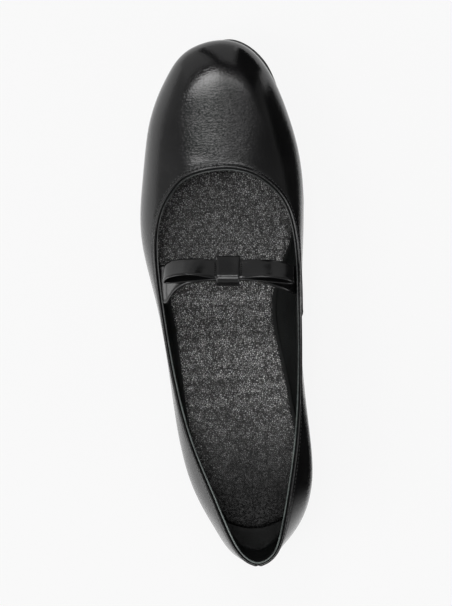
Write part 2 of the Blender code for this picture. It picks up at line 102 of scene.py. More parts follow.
# BULGE, FEATHER, COLLAR and ARC have a row for each of 13 equal steps of angle from heel to toe.
# Columns of BULGE: lateral and medial reach, lateral and medial rise; of FEATHER: the reaches; of
# COLLAR: station, the reaches, shares of the back's and of the throat's height; of ARC: roundness
# and slope of a rib above the bulge; of BAND: reach, share of its rise, rear and front edge
BULGE = (
    (0.025, 0.025, 1.00, 1.00),
    (-0.118, 0.148, 1.00, 1.00),
    (-0.220, 0.295, 1.00, 1.00),
    (-0.332, 0.381, 0.96, 1.00),
    (-0.398, 0.384, 0.92, 1.06),
    (-0.431, 0.371, 0.90, 1.20),
    (-0.480, 0.386, 0.88, 1.26),
    (-0.545, 0.434, 0.85, 1.04),
    (-0.511, 0.444, 0.78, 0.84),
    (-0.447, 0.382, 0.66, 0.68),
    (-0.333, 0.292, 0.52, 0.53),
    (-0.199, 0.169, 0.42, 0.42),
    (0.000, 0.000, 0.40, 0.40),
)
FEATHER = (
    (0.025, 0.025),
    (-0.105, 0.145),
    (-0.205, 0.258),
    (-0.310, 0.338),
    (-0.365, 0.300),
    (-0.385, 0.245),
    (-0.425, 0.215),
    (-0.495, 0.395),
    (-0.480, 0.415),
    (-0.420, 0.360),
    (-0.312, 0.275),
    (-0.185, 0.158),
    (0.000, 0.000),
)
COLLAR = (
    (0.012, 0.044, 0.044, 1.00, 0.00),
    (0.030, -0.058, 0.148, 0.98, 0.00),
    (0.075, -0.134, 0.206, 0.89, 0.00),
    (0.150, -0.219, 0.263, 0.70, 0.00),
    (0.250, -0.328, 0.325, 0.42, 0.00),
    (0.365, -0.402, 0.366, 0.14, 0.00),
    (0.480, -0.442, 0.388, 0.00, 0.00),
    (0.595, -0.456, 0.397, 0.00, 0.08),
    (0.672, -0.412, 0.350, 0.00, 0.32),
    (0.7125, -0.331, 0.259, 0.00, 0.62),
    (0.7345, -0.253, 0.165, 0.00, 0.86),
    (0.7455, -0.140, 0.065, 0.00, 0.97),
    (0.7485, -0.030, -0.030, 0.00, 1.00),
)
ARC = 7 * ((1.00, 0.50),) + (
    (1.00, 0.48),
    (0.86, 0.46),
    (0.66, 0.47),
    (0.48, 0.50),
    (0.37, 0.53),
    (0.34, 0.54),
)
BAND = (
    (-0.400, 0.02, -1.80, 0.40),
    (-0.360, 0.26, -1.26, 0.42),
    (-0.295, 0.56, -0.80, 0.45),
    (-0.220, 0.80, -0.59, 0.49),
    (-0.120, 0.965, -0.50, 0.50),
    (-0.022, 1.00, -0.50, 0.50),
    (0.080, 0.965, -0.50, 0.50),
    (0.165, 0.80, -0.56, 0.48),
    (0.235, 0.56, -0.80, 0.44),
    (0.300, 0.28, -1.02, 0.40),
    (0.340, 0.05, -1.22, 0.38),
)

# Edge of the topline, from outside to inside: stitch channel, rounded leather edge, groove and the
# bound edge of the lining that stands above it. Columns: out of the wall, above the rib's end
RIM = (
    (0.00, -4.40), (0.00, -3.80), (-0.05, -3.20), (-0.13, -2.75), (-0.19, -2.38), (-0.20, -2.10),
    (-0.15, -1.85), (-0.03, -1.62), (0.12, -1.42), (0.23, -1.20), (0.28, -0.96), (0.27, -0.72),
    (0.20, -0.52), (0.06, -0.36), (-0.14, -0.26), (-0.40, -0.22), (-0.66, -0.28), (-0.84, -0.44),
    (-0.95, -0.70), (-1.06, -0.66), (-1.12, -0.36), (-1.13, -0.04), (-1.14, 0.28), (-1.20, 0.52),
    (-1.34, 0.68), (-1.52, 0.73), (-1.70, 0.64), (-1.83, 0.44), (-1.90, 0.16), (-1.95, -0.20),
    (-2.00, -0.60), (-2.00, -1.20), (-2.00, -2.20), (-2.00, -3.40),
)
BEAD_FROM = 22            # rows of the rim that are the lining's bound edge
BEAD_TO = 27
TOP_ROW = 24              # highest row of the rim
GROOVE_ROW = 18           # from here inwards the rim is lining
INNER_FROM = 30           # first row of the inner face
CHANNEL_ROW = 4           # bottom of the stitch channel lies between this row and the next

# Fine grid of the upper
SIDE = 210
WALL_ROWS = 52
INNER_ROWS = 26
CROWDING = 0.17           # how much closer together the ribs stand along the sides
LOWER_POINTS = 30         # points of a rib below and above the bulge, before it is divided
UPPER_POINTS = 90

# Creases and dents of the vamp and quarters: two ends in plan, half width, depth (ridges negative)
CREASES = (
    (-15.0, 70.0, 2.0, 66.0, 3.6, 0.12),
    (-20.0, 66.0, -8.0, 79.0, 3.4, 0.10),
    (14.0, 66.0, 25.0, 58.5, 3.0, 0.12),
    (-2.0, 69.5, 17.0, 68.0, 1.6, -0.05),
    (-4.0, 74.0, 15.0, 73.0, 1.8, -0.05),
    (0.0, 79.0, 18.0, 77.0, 2.0, -0.05),
    (-27.0, 55.0, -20.0, 63.5, 3.4, 0.12),
    (-32.0, 44.0, -29.5, 58.0, 3.4, 0.10),
    (30.0, 40.0, 29.0, 52.0, 3.4, 0.10),
)
TOE_CREST = 0.20          # soft crest across the top of the toe
TOE_CREST_Y = 97.0
TOE_CREST_HALF = 8.0
LONG_WAVES = 0.07         # unevenness of the leather on the last
SHORT_WAVES = 0.02


def ring_spline(values, angles):
    """Smooth closed curve through equally spaced values, read at the given angles."""
    values = np.asarray(values, dtype=float)
    count = len(values)
    eye = np.eye(count)
    system = 4.0 * eye + np.roll(eye, 1, axis=0) + np.roll(eye, -1, axis=0)
    bend = 6.0 * (np.roll(values, 1) - 2.0 * values + np.roll(values, -1))
    bends = np.linalg.solve(system, bend)
    place = (np.asarray(angles) / (2.0 * math.pi) * count) % count
    low = np.floor(place).astype(int) % count
    high = (low + 1) % count
    after = place - np.floor(place)
    before = 1.0 - after
    return (values[low] * before + values[high] * after
            + ((before ** 3 - before) * bends[low] + (after ** 3 - after) * bends[high]) / 6.0)


def open_spline(knots, values, places):
    """Smooth open curve through the values at increasing knots, read at the places."""
    knots = np.asarray(knots, dtype=float)
    values = np.asarray(values, dtype=float)
    places = np.asarray(places, dtype=float)
    slopes = np.gradient(values, knots)
    low = np.clip(np.searchsorted(knots, places, side="right") - 1, 0, len(knots) - 2)
    span = knots[low + 1] - knots[low]
    share = (places - knots[low]) / span
    start = (1.0 + 2.0 * share) * (1.0 - share) ** 2 * values[low]
    start = start + share * (1.0 - share) ** 2 * span * slopes[low]
    end = share ** 2 * (3.0 - 2.0 * share) * values[low + 1]
    return start + end + share ** 2 * (share - 1.0) * span * slopes[low + 1]


def around(table, lateral_column, medial_column, angles):
    """Read a table all round the shoe: heel, lateral side, toe, medial side."""
    lateral = [row[lateral_column] for row in table]
    medial = [row[medial_column] for row in table]
    return ring_spline(lateral + medial[-2:0:-1], angles)


def station_y(station):
    return (station - MIDDLE_STATION) * LENGTH


def spine_x(reach):
    return (reach + SPINE_SHARE) * BALL_WIDTH


def smooth(value, low, high):
    """0 below low, 1 above high and a soft step between."""
    share = held((np.asarray(value, dtype=float) - low) / (high - low))
    return share * share * (3.0 - 2.0 * share)


def held(value):
    """The value, held between 0 and 1."""
    return np.clip(value, 0.0, 1.0)


def bell(value, half):
    """1 at zero, with a soft fall on both sides."""
    return np.exp(-(value / half) ** 2)


def unit(vectors):
    """The vectors with length 1."""
    return vectors / np.linalg.norm(vectors, axis=-1, keepdims=True)


def ring_step(ring):
    """Step along a closed ring at each of its places."""
    return np.roll(ring, -1, axis=0) - np.roll(ring, 1, axis=0)


def ring_outward(path):
    """Unit vectors that point out of a flat closed path."""
    ahead = unit(ring_step(path))
    return np.stack([ahead[:, 1], -ahead[:, 0]], axis=-1)


def travel(curve):
    """Distance travelled at each point of a curve."""
    steps = np.linalg.norm(np.diff(curve, axis=0), axis=1)
    return np.concatenate([[0.0], np.cumsum(steps)])


def xyz(x, y, z):
    return np.stack([x, y, z], axis=-1)


def read_along(curve, travelled, distances):
    """Points of a curve at the distances, given the distance travelled at its own points."""
    return np.stack([np.interp(distances, travelled, column) for column in curve.T], axis=-1)


def sole_bottom(y):
    """Height of the outsole's lower face: heel, shank, flat tread and toe spring."""
    station = np.asarray(y) / LENGTH + MIDDLE_STATION
    shank = held((station - SHANK_STATION) / (TREAD_STATION - SHANK_STATION))
    spring = np.clip((station - SPRING_STATION) / (1.0 - SPRING_STATION), 0.0, None)
    fall = 1.0 - shank ** 2 * (3.0 - 2.0 * shank)
    return HEEL_LIFT * fall + TOE_SPRING * spring ** SPRING_POWER


def sole_top(y):
    return sole_bottom(y) + SOLE_THICKNESS


def column_angles(side):
    """Angles of the fine ribs, closer together along the sides."""
    even = (np.arange(2 * side) + 0.5) * math.pi / side
    return even + CROWDING * np.sin(2.0 * even)


def feather_line(angles):
    """Lower outer corner of the upper."""
    share = (1.0 - np.cos(angles)) / 2.0
    x = spine_x(around(FEATHER, 0, 1, angles))
    y = station_y(HEEL_FEATHER_STATION + share * (TOE_FEATHER_STATION - HEEL_FEATHER_STATION))
    return xyz(x, y, sole_top(y) + GAP)


def bulge_line(angles):
    """Widest line of the last."""
    x = spine_x(around(BULGE, 0, 1, angles))
    share = (1.0 - np.cos(angles)) / 2.0
    y = station_y(HEEL_BULGE_STATION + share * (1.0 - HEEL_BULGE_STATION))
    rise = BULGE_RISE * around(BULGE, 2, 3, angles)
    return xyz(x, y, sole_top(y) + rise)


def top_line(angles):
    """Outer edge of the topline."""
    x = spine_x(around(COLLAR, 1, 2, angles))
    y = station_y(around(COLLAR, 0, 0, angles))
    back = around(COLLAR, 3, 3, angles)
    throat = around(COLLAR, 4, 4, angles)
    z = WAIST_HEIGHT + back * (BACK_HEIGHT - WAIST_HEIGHT)
    z = z + throat * (THROAT_HEIGHT - WAIST_HEIGHT)
    return xyz(x, y, z)


def dense_ribs(angles):
    """Outer surface of the upper, feather line to topline."""
    feather = feather_line(angles)[:, None, :]
    bulge = bulge_line(angles)[:, None, :]
    top = top_line(angles)[:, None, :]
    rounding = around(ARC, 0, 0, angles)[:, None]
    slope = around(ARC, 1, 1, angles)[:, None]
    up = np.linspace(0.0, 1.0, LOWER_POINTS)[None, :-1]
    out = 1.0 - (1.0 - up) ** LOWER_POWER
    lower = feather + (bulge - feather) * xyz(out, out, up)
    inward = np.linspace(0.0, 1.0, UPPER_POINTS)[None, :] ** 2
    turn = held(inward / rounding)
    rise = (1.0 - slope) * np.sqrt(1.0 - (1.0 - turn) ** 2) + slope * inward
    inward = np.broadcast_to(inward, rise.shape)
    upper = bulge + (top - bulge) * xyz(inward, inward, rise)
    return np.concatenate([lower, upper], axis=1)


def directions(grid):
    """Outward normal and upward tangent at each point of a ring of ribs."""
    upward = unit(np.gradient(grid, axis=1))
    return unit(np.cross(upward, ring_step(grid))), upward


def plan_inward(line):
    """Unit vectors in plan that point into the shoe from a closed line around it."""
    across = ring_step(line)
    return unit(np.stack([across[:, 1], -across[:, 0], np.zeros(len(line))], axis=-1))


def on_sole(line, height):
    laid = line.copy()
    laid[:, 2] = sole_top(laid[:, 1]) + height
    return laid


def new_object(name, points, faces, finishes):
    """New object in the scene, from points in millimetres."""
    mesh = bpy.data.meshes.new(name)
    mesh.from_pydata([tuple(float(v) * MM for v in point) for point in points], [], faces)
    for finish in finishes:
        mesh.materials.append(finish)
    made = bpy.data.objects.new(name, mesh)
    bpy.context.scene.collection.objects.link(made)
    return made


def make_piece(name, points, faces, finishes, finish_of_face=None, sharp=None):
    """Smooth-shaded piece that rides on the shoe."""
    made = new_object(name, points, faces, finishes)
    mesh = made.data
    if finish_of_face is not None:
        mesh.polygons.foreach_set("material_index", np.asarray(finish_of_face, dtype=np.int32))
    shape = bmesh.new()
    shape.from_mesh(mesh)
    bmesh.ops.recalc_face_normals(shape, faces=shape.faces)
    shape.to_mesh(mesh)
    shape.free()
    mesh.shade_smooth()
    if sharp:
        mesh.set_sharp_from_angle(angle=math.radians(sharp))
    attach(made, "root")
    return made


def quads(numbers):
    """Faces between the rows and columns of a grid of point numbers."""
    corners = (numbers[:-1, :-1], numbers[:-1, 1:], numbers[1:, 1:], numbers[1:, :-1])
    return np.stack(corners, axis=-1).reshape(-1, 4).tolist()


def numbered(rows, columns, start=0):
    return np.arange(start, start + rows * columns).reshape(rows, columns)


def ring_faces(turns, section):
    """Faces of a closed ring of closed sections."""
    return quads(np.pad(numbered(turns, section), ((0, 1), (0, 1)), mode="wrap"))


def tube_faces(count, section, start=0):
    """Faces of an open tube of closed sections with a face at each end."""
    numbers = numbered(count, section, start)
    faces = quads(np.pad(numbers, ((0, 0), (0, 1)), mode="wrap"))
    return faces + [numbers[0].tolist(), numbers[-1, ::-1].tolist()]


def segment_share(x, y, x0, y0, x1, y1):
    """Distance from a line in plan and place along it, 0 to 1."""
    dx, dy = x1 - x0, y1 - y0
    share = ((x - x0) * dx + (y - y0) * dy) / (dx * dx + dy * dy)
    near = held(share)
    return np.hypot(x - x0 - near * dx, y - y0 - near * dy), share


def surface_relief(grid):
    """How far the leather stands out of the smooth last at each point."""
    x, y, z = grid[..., 0], grid[..., 1], grid[..., 2]
    relief = np.zeros(x.shape)
    for x0, y0, x1, y1, half, depth in CREASES:
        gap, share = segment_share(x, y, x0, y0, x1, y1)
        fade = np.sin(held(share * 0.8 + 0.1) * math.pi) ** 0.7
        relief -= depth * bell(gap, half) * fade
    crest = bell(y - TOE_CREST_Y, TOE_CREST_HALF) * (1.0 - smooth(np.abs(x), 16.0, 32.0))
    relief += TOE_CREST * crest
    relief += LONG_WAVES * np.sin(x / 9.1 + 0.7) * np.sin(y / 12.7 + z / 8.3 + 1.9)
    relief += SHORT_WAVES * np.sin(x / 4.3 + y / 7.9 + 0.4) * np.sin(y / 5.7 - z / 6.1)
    return relief * smooth(z - sole_top(y), 2.0, 9.0)


SEAM_Y = -8.0             # side seam on the medial side, where the vamp lies on the quarter
SEAM_LEAN = 0.16
SEAM_STEP = 0.55
SEAM_RIDGE = 0.12
SEAM_DIP = 0.35           # notch of the topline at the seam
BACK_SEAM_X = 6.6
BACK_SEAM_DEPTH = 0.32
BACK_SEAM_RIDGE = 0.16
BACK_SEAM_DIP = 0.55
BACK_STATION = 0.1        # the back seam lies behind this station
THROAT_SETTLE = 1.00      # how far the worn vamp has sunk at the throat
SETTLED_FROM = (34.0, 62.0)
SETTLED_TO = (63.0, 101.0)
INNER_FACE = slice(WALL_ROWS + INNER_FROM, WALL_ROWS + len(RIM) + INNER_ROWS)


def upper_grid():
    """Outer surface, rolled edge and inner surface of the upper, as one ring of profiles."""
    angles = column_angles(SIDE)
    curves = dense_ribs(angles)
    rim_out, rim_heights = np.array(RIM).T
    wall, rim, deep = [], [], []
    for curve in curves:
        travelled = travel(curve)
        total = travelled[-1]
        for rows, places in (
                (wall, np.linspace(0.0, total + RIM[0][1], WALL_ROWS + 1)[:-1]),
                (rim, total + np.minimum(rim_heights, 0.0)),
                (deep, np.linspace(total + RIM[-1][1], 0.0, INNER_ROWS + 1)[1:])):
            rows.append(read_along(curve, travelled, places))
    wall, rim, deep = np.stack(wall), np.stack(rim), np.stack(deep)

    outer = np.concatenate([wall, rim[:, :1]], axis=1)
    normal, _ = directions(outer)
    relief = surface_relief(outer)
    x, y, z = outer[..., 0], outer[..., 1], outer[..., 2]
    seam = y - SEAM_Y + SEAM_LEAN * (z - WAIST_HEIGHT)
    medial = smooth(x, 12.0, 18.0)
    over = smooth(seam, -0.5, 0.5) * (1.0 - smooth(seam, 10.0, 45.0))
    relief += SEAM_STEP * over * medial
    relief += SEAM_RIDGE * bell(seam - 1.6, 0.7) * medial
    rear = 1.0 - smooth(y, station_y(0.06), station_y(BACK_STATION))
    relief -= BACK_SEAM_DEPTH * bell(x - BACK_SEAM_X, 0.55) * rear
    relief += BACK_SEAM_RIDGE * bell(np.abs(x - BACK_SEAM_X) - 1.5, 0.8) * rear
    outer = outer + normal * relief[..., None]
    wall = outer[:, :-1]

    top_normal, top_up = directions(np.stack([rim[:, 0], rim[:, TOP_ROW]], axis=1))
    top_normal, top_up = top_normal[:, -1], top_up[:, -1]
    swell = relief[:, -1][:, None] * smooth(rim_out, -1.0, 0.0)[None, :]
    stand = rim_out[None, :] + swell
    tx, ty = rim[:, TOP_ROW, 0], rim[:, TOP_ROW, 1]
    dip = SEAM_DIP * bell(ty - SEAM_Y - 0.4, 0.8) * smooth(tx, 12.0, 18.0)
    notch = BACK_SEAM_DIP * bell(tx - BACK_SEAM_X, 0.7) * (ty < station_y(BACK_STATION))
    lower = (dip + notch)[:, None] * held(1.0 + rim_heights)[None, :]
    above = np.maximum(rim_heights, 0.0)[None, :] - lower
    rim = rim + top_normal[:, None, :] * stand[..., None] + top_up[:, None, :] * above[..., None]

    inner_normal, _ = directions(deep[:, ::-1])
    deep = deep - inner_normal[:, ::-1] * UPPER_WALL
    floor = sole_top(deep[..., 1]) + GAP + LASTING_THICKNESS
    deep[..., 2] = np.maximum(deep[..., 2], floor)

    for part in (wall, rim, deep):
        settle = smooth(part[..., 1], *SETTLED_FROM) * (1.0 - smooth(part[..., 1], *SETTLED_TO))
        part[..., 2] -= THROAT_SETTLE * settle * smooth(part[..., 2], 8.0, 26.0)

    feather = feather_line(angles)
    turned_in = feather + plan_inward(feather) * LASTING_WIDTH
    over_edge = on_sole(turned_in, GAP + LASTING_THICKNESS)
    under_edge = on_sole(turned_in, 0.05)
    corner = on_sole(feather, 0.02)
    return np.concatenate([wall, rim, deep, over_edge[:, None], under_edge[:, None],
                           corner[:, None]], axis=1)


def inner_line(grid, height):
    """Where the upper's inner face is at a height above the outsole."""
    line = []
    for curve in grid[:, INNER_FACE]:
        above = curve[:, 2] - sole_top(curve[:, 1])
        order = np.argsort(above)
        line.append([np.interp(height, above[order], curve[order, k]) for k in range(3)])
    return np.array(line)


class Nodes:
    """Shader nodes of a material or of the world."""

    def __init__(self, tree):
        self.tree = tree

    def feed(self, socket, value):
        """Put a constant on a socket, or link another socket to it."""
        if isinstance(value, bpy.types.NodeSocket):
            self.tree.links.new(value, socket)
        else:
            socket.default_value = value

    def add(self, kind, inputs=None, **settings):
        """New node with its settings and with a constant or a link on each named input."""
        node = self.tree.nodes.new(kind)
        for key, value in settings.items():
            setattr(node, key, value)
        for key, value in (inputs or {}).items():
            self.feed(node.inputs[key], value)
        return node

    def compute(self, operation, *values):
        node = self.add("ShaderNodeMath", dict(enumerate(values)), operation=operation)
        return node.outputs["Value"]

    def spread(self, value, low, high, to_low=0.0, to_high=1.0):
        """Soft step from one level to another while the value goes from low to high."""
        inputs = {"Value": value, "From Min": low, "From Max": high,
                  "To Min": to_low, "To Max": to_high}
        node = self.add("ShaderNodeMapRange", inputs, interpolation_type="SMOOTHSTEP")
        return node.outputs["Result"]


class Finish(Nodes):
    """A procedural material under construction: a Principled shader with a bump chain."""

    def __init__(self, name, colour, roughness):
        self.material = bpy.data.materials.new(name)
        self.material.use_nodes = True
        self.material.diffuse_color = (*colour, 1.0)
        super().__init__(self.material.node_tree)
        self.shader = self.tree.nodes["Principled BSDF"]
        self.set("Base Color", (*colour, 1.0))
        self.set("Roughness", roughness)
        self.place = self.add("ShaderNodeTexCoord").outputs["Object"]
        self.bump = None

    def set(self, socket, value):
        self.feed(self.shader.inputs[socket], value)

    def noise(self, scale, detail=3.0, rough=0.5, stretch=None):
        place = self.place
        if stretch:
            mapping = self.add("ShaderNodeMapping", {"Scale": stretch, "Vector": place})
            place = mapping.outputs["Vector"]
        inputs = {"Scale": scale, "Detail": detail, "Roughness": rough, "Vector": place}
        return self.add("ShaderNodeTexNoise", inputs).outputs["Fac"]

    def cells(self, scale, feature="F1", smoothness=None, warp=None, output="Distance", even=0.0):
        """Grains: round ones, or the net between them; warp bends them, even lines them up."""
        place = self.place
        if warp:
            bent = self.add("ShaderNodeTexNoise",
                            {"Scale": scale * 0.6, "Detail": 2.0, "Vector": place})
            moved = self.add("ShaderNodeVectorMath",
                             {0: bent.outputs["Color"], 1: (warp, warp, warp), 2: place},
                             operation="MULTIPLY_ADD")
            place = moved.outputs["Vector"]
        inputs = {"Scale": scale, "Randomness": 1.0 - even, "Vector": place}
        if smoothness:
            inputs["Smoothness"] = smoothness
        return self.add("ShaderNodeTexVoronoi", inputs, feature=feature).outputs[output]

    def forward(self, low, high, to_low, to_high):
        """Soft step from one level to another along the shoe, in metres from its middle."""
        split = self.add("ShaderNodeSeparateXYZ", {"Vector": self.place})
        return self.spread(split.outputs["Y"], low, high, to_low, to_high)

    def times(self, first, second):
        return self.compute("MULTIPLY", first, second)

    def tint(self, factor, first, second):
        """Colour of the surface: from the first to the second with the factor."""
        inputs = {"Factor": factor, 6: (*first, 1.0), 7: (*second, 1.0)}
        node = self.add("ShaderNodeMix", inputs, data_type="RGBA")
        self.set("Base Color", node.outputs[2])

    def raise_by(self, height, distance):
        """Add a bump of the given height in metres."""
        inputs = {"Strength": 1.0, "Distance": distance, "Height": height}
        if self.bump:
            inputs["Normal"] = self.bump
        self.bump = self.add("ShaderNodeBump", inputs).outputs["Normal"]
        self.set("Normal", self.bump)


# Grain of the smooth leather: scale of the pattern, height of the bump in metres
CELL_GRAIN = (1250.0, 0.00002)
CROSS_GRAIN = (1450.0, 0.00013)
SOFT_GRAIN = (110.0, 0.00004)
WORN_TOE = (0.092, 0.110, 1.0, 0.35)        # the cross grain is flatter at the toe

# Sock: scale of the pebbles and of the veins, and where its painted glints are dimmed by painted
# shade, at the heel cup and in front under the vamp, from y to y
PEBBLES = 1200.0
PEBBLE_ORDER = 0.15
VEINS = 170.0
HEEL_SHADE = (-0.102, -0.036, 0.06, 1.0)
FRONT_SHADE = (0.010, 0.030, 1.0, 0.70)

BLACK = (0.0034, 0.0034, 0.0036)
SOFT_BLACK = (0.0058, 0.0058, 0.0060)
LINING_BLACK = (0.0050, 0.0056, 0.0054)
SOFT_LINING_BLACK = (0.0085, 0.0092, 0.0090)
# pale colour of the lining's edge from the waist back, also used for the painted highlight at the
# throat
PALE_EDGE_AND_HIGHLIGHT = (0.125, 0.145, 0.138)


def nappa(name, base, light, rough_low, rough_high, grain=1.0, shine=0.5, coat=0.12):
    """Black smooth leather: fine cells, cross grain, and patches that shine less."""
    leather = Finish(name, base, 0.35)
    leather.tint(leather.spread(leather.noise(55.0), 0.35, 0.75), base, light)
    patches = leather.noise(90.0, 4.0, 0.6)
    leather.set("Roughness", leather.spread(patches, 0.3, 0.7, rough_low, rough_high))
    cells = leather.cells(CELL_GRAIN[0], "SMOOTH_F1", 0.35, warp=0.0006)
    leather.raise_by(leather.spread(cells, 0.1, 0.75, 1.0, 0.0), CELL_GRAIN[1] * grain)
    fine = leather.noise(CROSS_GRAIN[0], 2.0, 0.6, (0.5, 1.0, 1.0))
    leather.raise_by(leather.times(fine, leather.forward(*WORN_TOE)), CROSS_GRAIN[1] * grain)
    leather.raise_by(leather.noise(SOFT_GRAIN[0], 2.0), SOFT_GRAIN[1] * grain)
    leather.set("Specular IOR Level", shine)
    leather.set("Coat Weight", coat)
    leather.set("Coat Roughness", 0.13)
    return leather.material


def pebbled(name):
    """Black pebbled leather of the sock, its colour painted: painted glints on the tops of small
    grains, painted shade in the net between them, dimmer at the heel and in front by painted
    shade.
    """
    leather = Finish(name, (0.020, 0.020, 0.020), 0.35)
    # painted shade: the sock dimmer at the heel cup and in front, under the vamp
    painted_shade = leather.times(leather.forward(*HEEL_SHADE), leather.forward(*FRONT_SHADE))
    cells = leather.cells(PEBBLES, even=PEBBLE_ORDER)
    net = leather.cells(PEBBLES, "DISTANCE_TO_EDGE", even=PEBBLE_ORDER)
    # painted highlight on the pebble tops, painted shade in the net between them
    lit_tops = leather.spread(net, 0.03, 0.34)
    own = leather.cells(PEBBLES, even=PEBBLE_ORDER, output="Color")
    light = leather.spread(own, 0.2, 0.8, 0.50, 1.0)
    veins = leather.cells(VEINS, "DISTANCE_TO_EDGE", warp=0.0050)
    veins = leather.spread(veins, 0.01, 0.10, 0.45, 1.0)
    glint_dots = leather.spread(leather.times(lit_tops, light), 0.0, 1.0, 0.03, 1.0)
    # painted glints: the lit tops, dimmed by the painted shade and by the veins
    painted_glint = leather.times(glint_dots, leather.times(painted_shade, veins))
    leather.tint(painted_glint, (0.003, 0.003, 0.003), (0.60, 0.60, 0.595))
    leather.set("Roughness", leather.spread(leather.noise(700.0, 2.0), 0.3, 0.7, 0.30, 0.45))
    leather.raise_by(leather.spread(cells, 0.05, 0.60, 1.0, 0.0), 0.00016)
    leather.raise_by(veins, 0.00012)
    leather.raise_by(leather.noise(60.0, 2.0), 0.00020)
    leather.set("Specular IOR Level", 0.20)
    return leather.material


def edge_finish(name):
    """Bound edge of the lining: black in front, paler and slightly green from the waist back, with
    a painted highlight along the throat.
    """
    leather = Finish(name, (0.02, 0.02, 0.02), 0.24)
    rubbed = leather.spread(leather.noise(90.0, 2.0), 0.35, 0.65, 0.45, 1.0)
    rear = leather.forward(-0.075, 0.010, 1.0, 0.10)
    # painted highlight: the edge made paler along the throat, where it catches the light
    throat = leather.forward(0.056, 0.066, 0.0, 0.55)
    pale_and_highlight = leather.times(leather.compute("ADD", rear, throat), rubbed)
    leather.tint(pale_and_highlight, (0.010, 0.010, 0.010), PALE_EDGE_AND_HIGHLIGHT)
    leather.set("Roughness", leather.spread(leather.noise(700.0, 2.0), 0.3, 0.7, 0.20, 0.32))
    leather.raise_by(leather.noise(900.0, 2.0), 0.00002)
    return leather.material


def plain(name, base, roughness, grain_scale=500.0, grain_height=0.00005):
    """Plain finish with a little unevenness."""
    made = Finish(name, base, roughness)
    made.raise_by(made.noise(grain_scale, 3.0, 0.6), grain_height)
    made.set("Roughness", made.spread(made.noise(grain_scale * 0.2), 0.3, 0.7,
                                      roughness * 0.85, min(roughness * 1.15, 1.0)))
    return made.material


OUTER = nappa("black nappa", BLACK, SOFT_BLACK, 0.12, 0.17)
BOW_LEATHER = nappa("bow nappa", BLACK, SOFT_BLACK, 0.17, 0.23, 0.3)
LINING = nappa("smooth lining", LINING_BLACK, SOFT_LINING_BLACK, 0.42, 0.55, 0.7, 0.16, 0.0)
PIPING = edge_finish("lining edge")
SOCK = pebbled("pebbled sock")
SOLE = plain("black rubber sole", (0.012, 0.012, 0.012), 0.55)
EDGE = plain("black sole edge", (0.010, 0.010, 0.010), 0.38)
# near-black finish of the stubs at the stitch holes beside the knot: painted shade of the holes
HOLE_SHADE = plain("stitch hole", (0.0015, 0.0015, 0.0015), 0.8)
THREAD = plain("black thread", (0.020, 0.021, 0.021), 0.36, 3000.0, 0.00006)


def make_upper():
    grid = upper_grid()
    turns, section = grid.shape[:2]
    faces = ring_faces(turns, section)
    kinds = np.zeros(section, dtype=int)
    kinds[WALL_ROWS + GROOVE_ROW:] = 1
    kinds[WALL_ROWS + BEAD_FROM:WALL_ROWS + BEAD_TO] = 2
    piece = make_piece("upper_leather", grid.reshape(-1, 3), faces, [OUTER, LINING, PIPING],
                       np.tile(kinds, turns))
    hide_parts("upper")
    return grid


# Rings of a stitch: place along it, rise and size, both of its radius
STITCH_RINGS = ((0.0, -0.9, 0.55), (0.14, 0.25, 0.95), (0.5, 0.7, 1.0), (0.86, 0.25, 0.95),
                (1.0, -0.9, 0.55))
STITCH_SIDES = 6


def stitch_points(start, end, lift, radius):
    """One stitch: a small round thread that dips in at both ends."""
    across = unit(np.cross(lift, unit(end - start)))
    turn = np.arange(STITCH_SIDES)[:, None] / STITCH_SIDES * 2.0 * math.pi
    rim = np.cos(turn) * across + np.sin(turn) * lift
    return np.concatenate([start + (end - start) * share + lift * radius * rise
                           + radius * size * rim for share, rise, size in STITCH_RINGS])


def thread_piece(name, stitches, radius, finish=THREAD):
    points, faces = [], []
    rings = len(STITCH_RINGS)
    for start, end, lift in stitches:
        faces += tube_faces(rings, STITCH_SIDES, len(points) * rings * STITCH_SIDES)
        points.append(stitch_points(start, end, lift, radius))
    piece = make_piece(name, np.concatenate(points), faces, [finish])


def closed_walk(line, lifts, pitch):
    """Places and outward directions at even steps along a closed line."""
    closed = np.concatenate([line, line[:1]])
    lifted = np.concatenate([lifts, lifts[:1]])
    travelled = travel(closed)
    count = int(round(travelled[-1] / pitch))
    places = np.arange(count) * travelled[-1] / count

    def at(distance):
        distance = distance % travelled[-1]
        place = read_along(closed, travelled, distance)
        return place, unit(read_along(lifted, travelled, distance))
    return places, at


STITCH_PITCH = 1.9        # stitches along the topline
STITCH_LENGTH = 1.35
STITCH_RADIUS = 0.17
STITCH_LIFT = 0.02


def make_topline_stitches(grid):
    """Row of stitches in the channel below the rolled edge."""
    row = WALL_ROWS + CHANNEL_ROW
    line = (grid[:, row] + grid[:, row + 1]) / 2.0
    normal, _ = directions(grid[:, WALL_ROWS + 3:WALL_ROWS + 11:7])
    places, at = closed_walk(line, normal[:, 0], STITCH_PITCH)
    stitches = []
    for place in places:
        start, lift = at(place)
        end, _ = at(place + STITCH_LENGTH)
        if abs(start[0] - BACK_SEAM_X) < 1.2 and start[1] < station_y(BACK_STATION):
            continue
        stitches.append((start + lift * STITCH_LIFT, end + lift * STITCH_LIFT, lift))
    thread_piece("topline_stitches", stitches, STITCH_RADIUS)


def slab(name, upper, lower, finish, node=None):
    """Closed sheet between two grids of the same size."""
    numbers = numbered(*upper.shape[:2])
    offset = numbers.size
    points = np.concatenate([upper.reshape(-1, 3), lower.reshape(-1, 3)])
    border = np.concatenate([numbers[0], numbers[1:, -1], numbers[-1, -2::-1],
                             numbers[-2:0:-1, 0], numbers[0, :1]])
    faces = quads(numbers) + [face[::-1] for face in quads(numbers + offset)]
    faces += quads(np.stack([border, border + offset], axis=1))
    piece = make_piece(name, points, faces, [finish])
    if node:
        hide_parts(node)


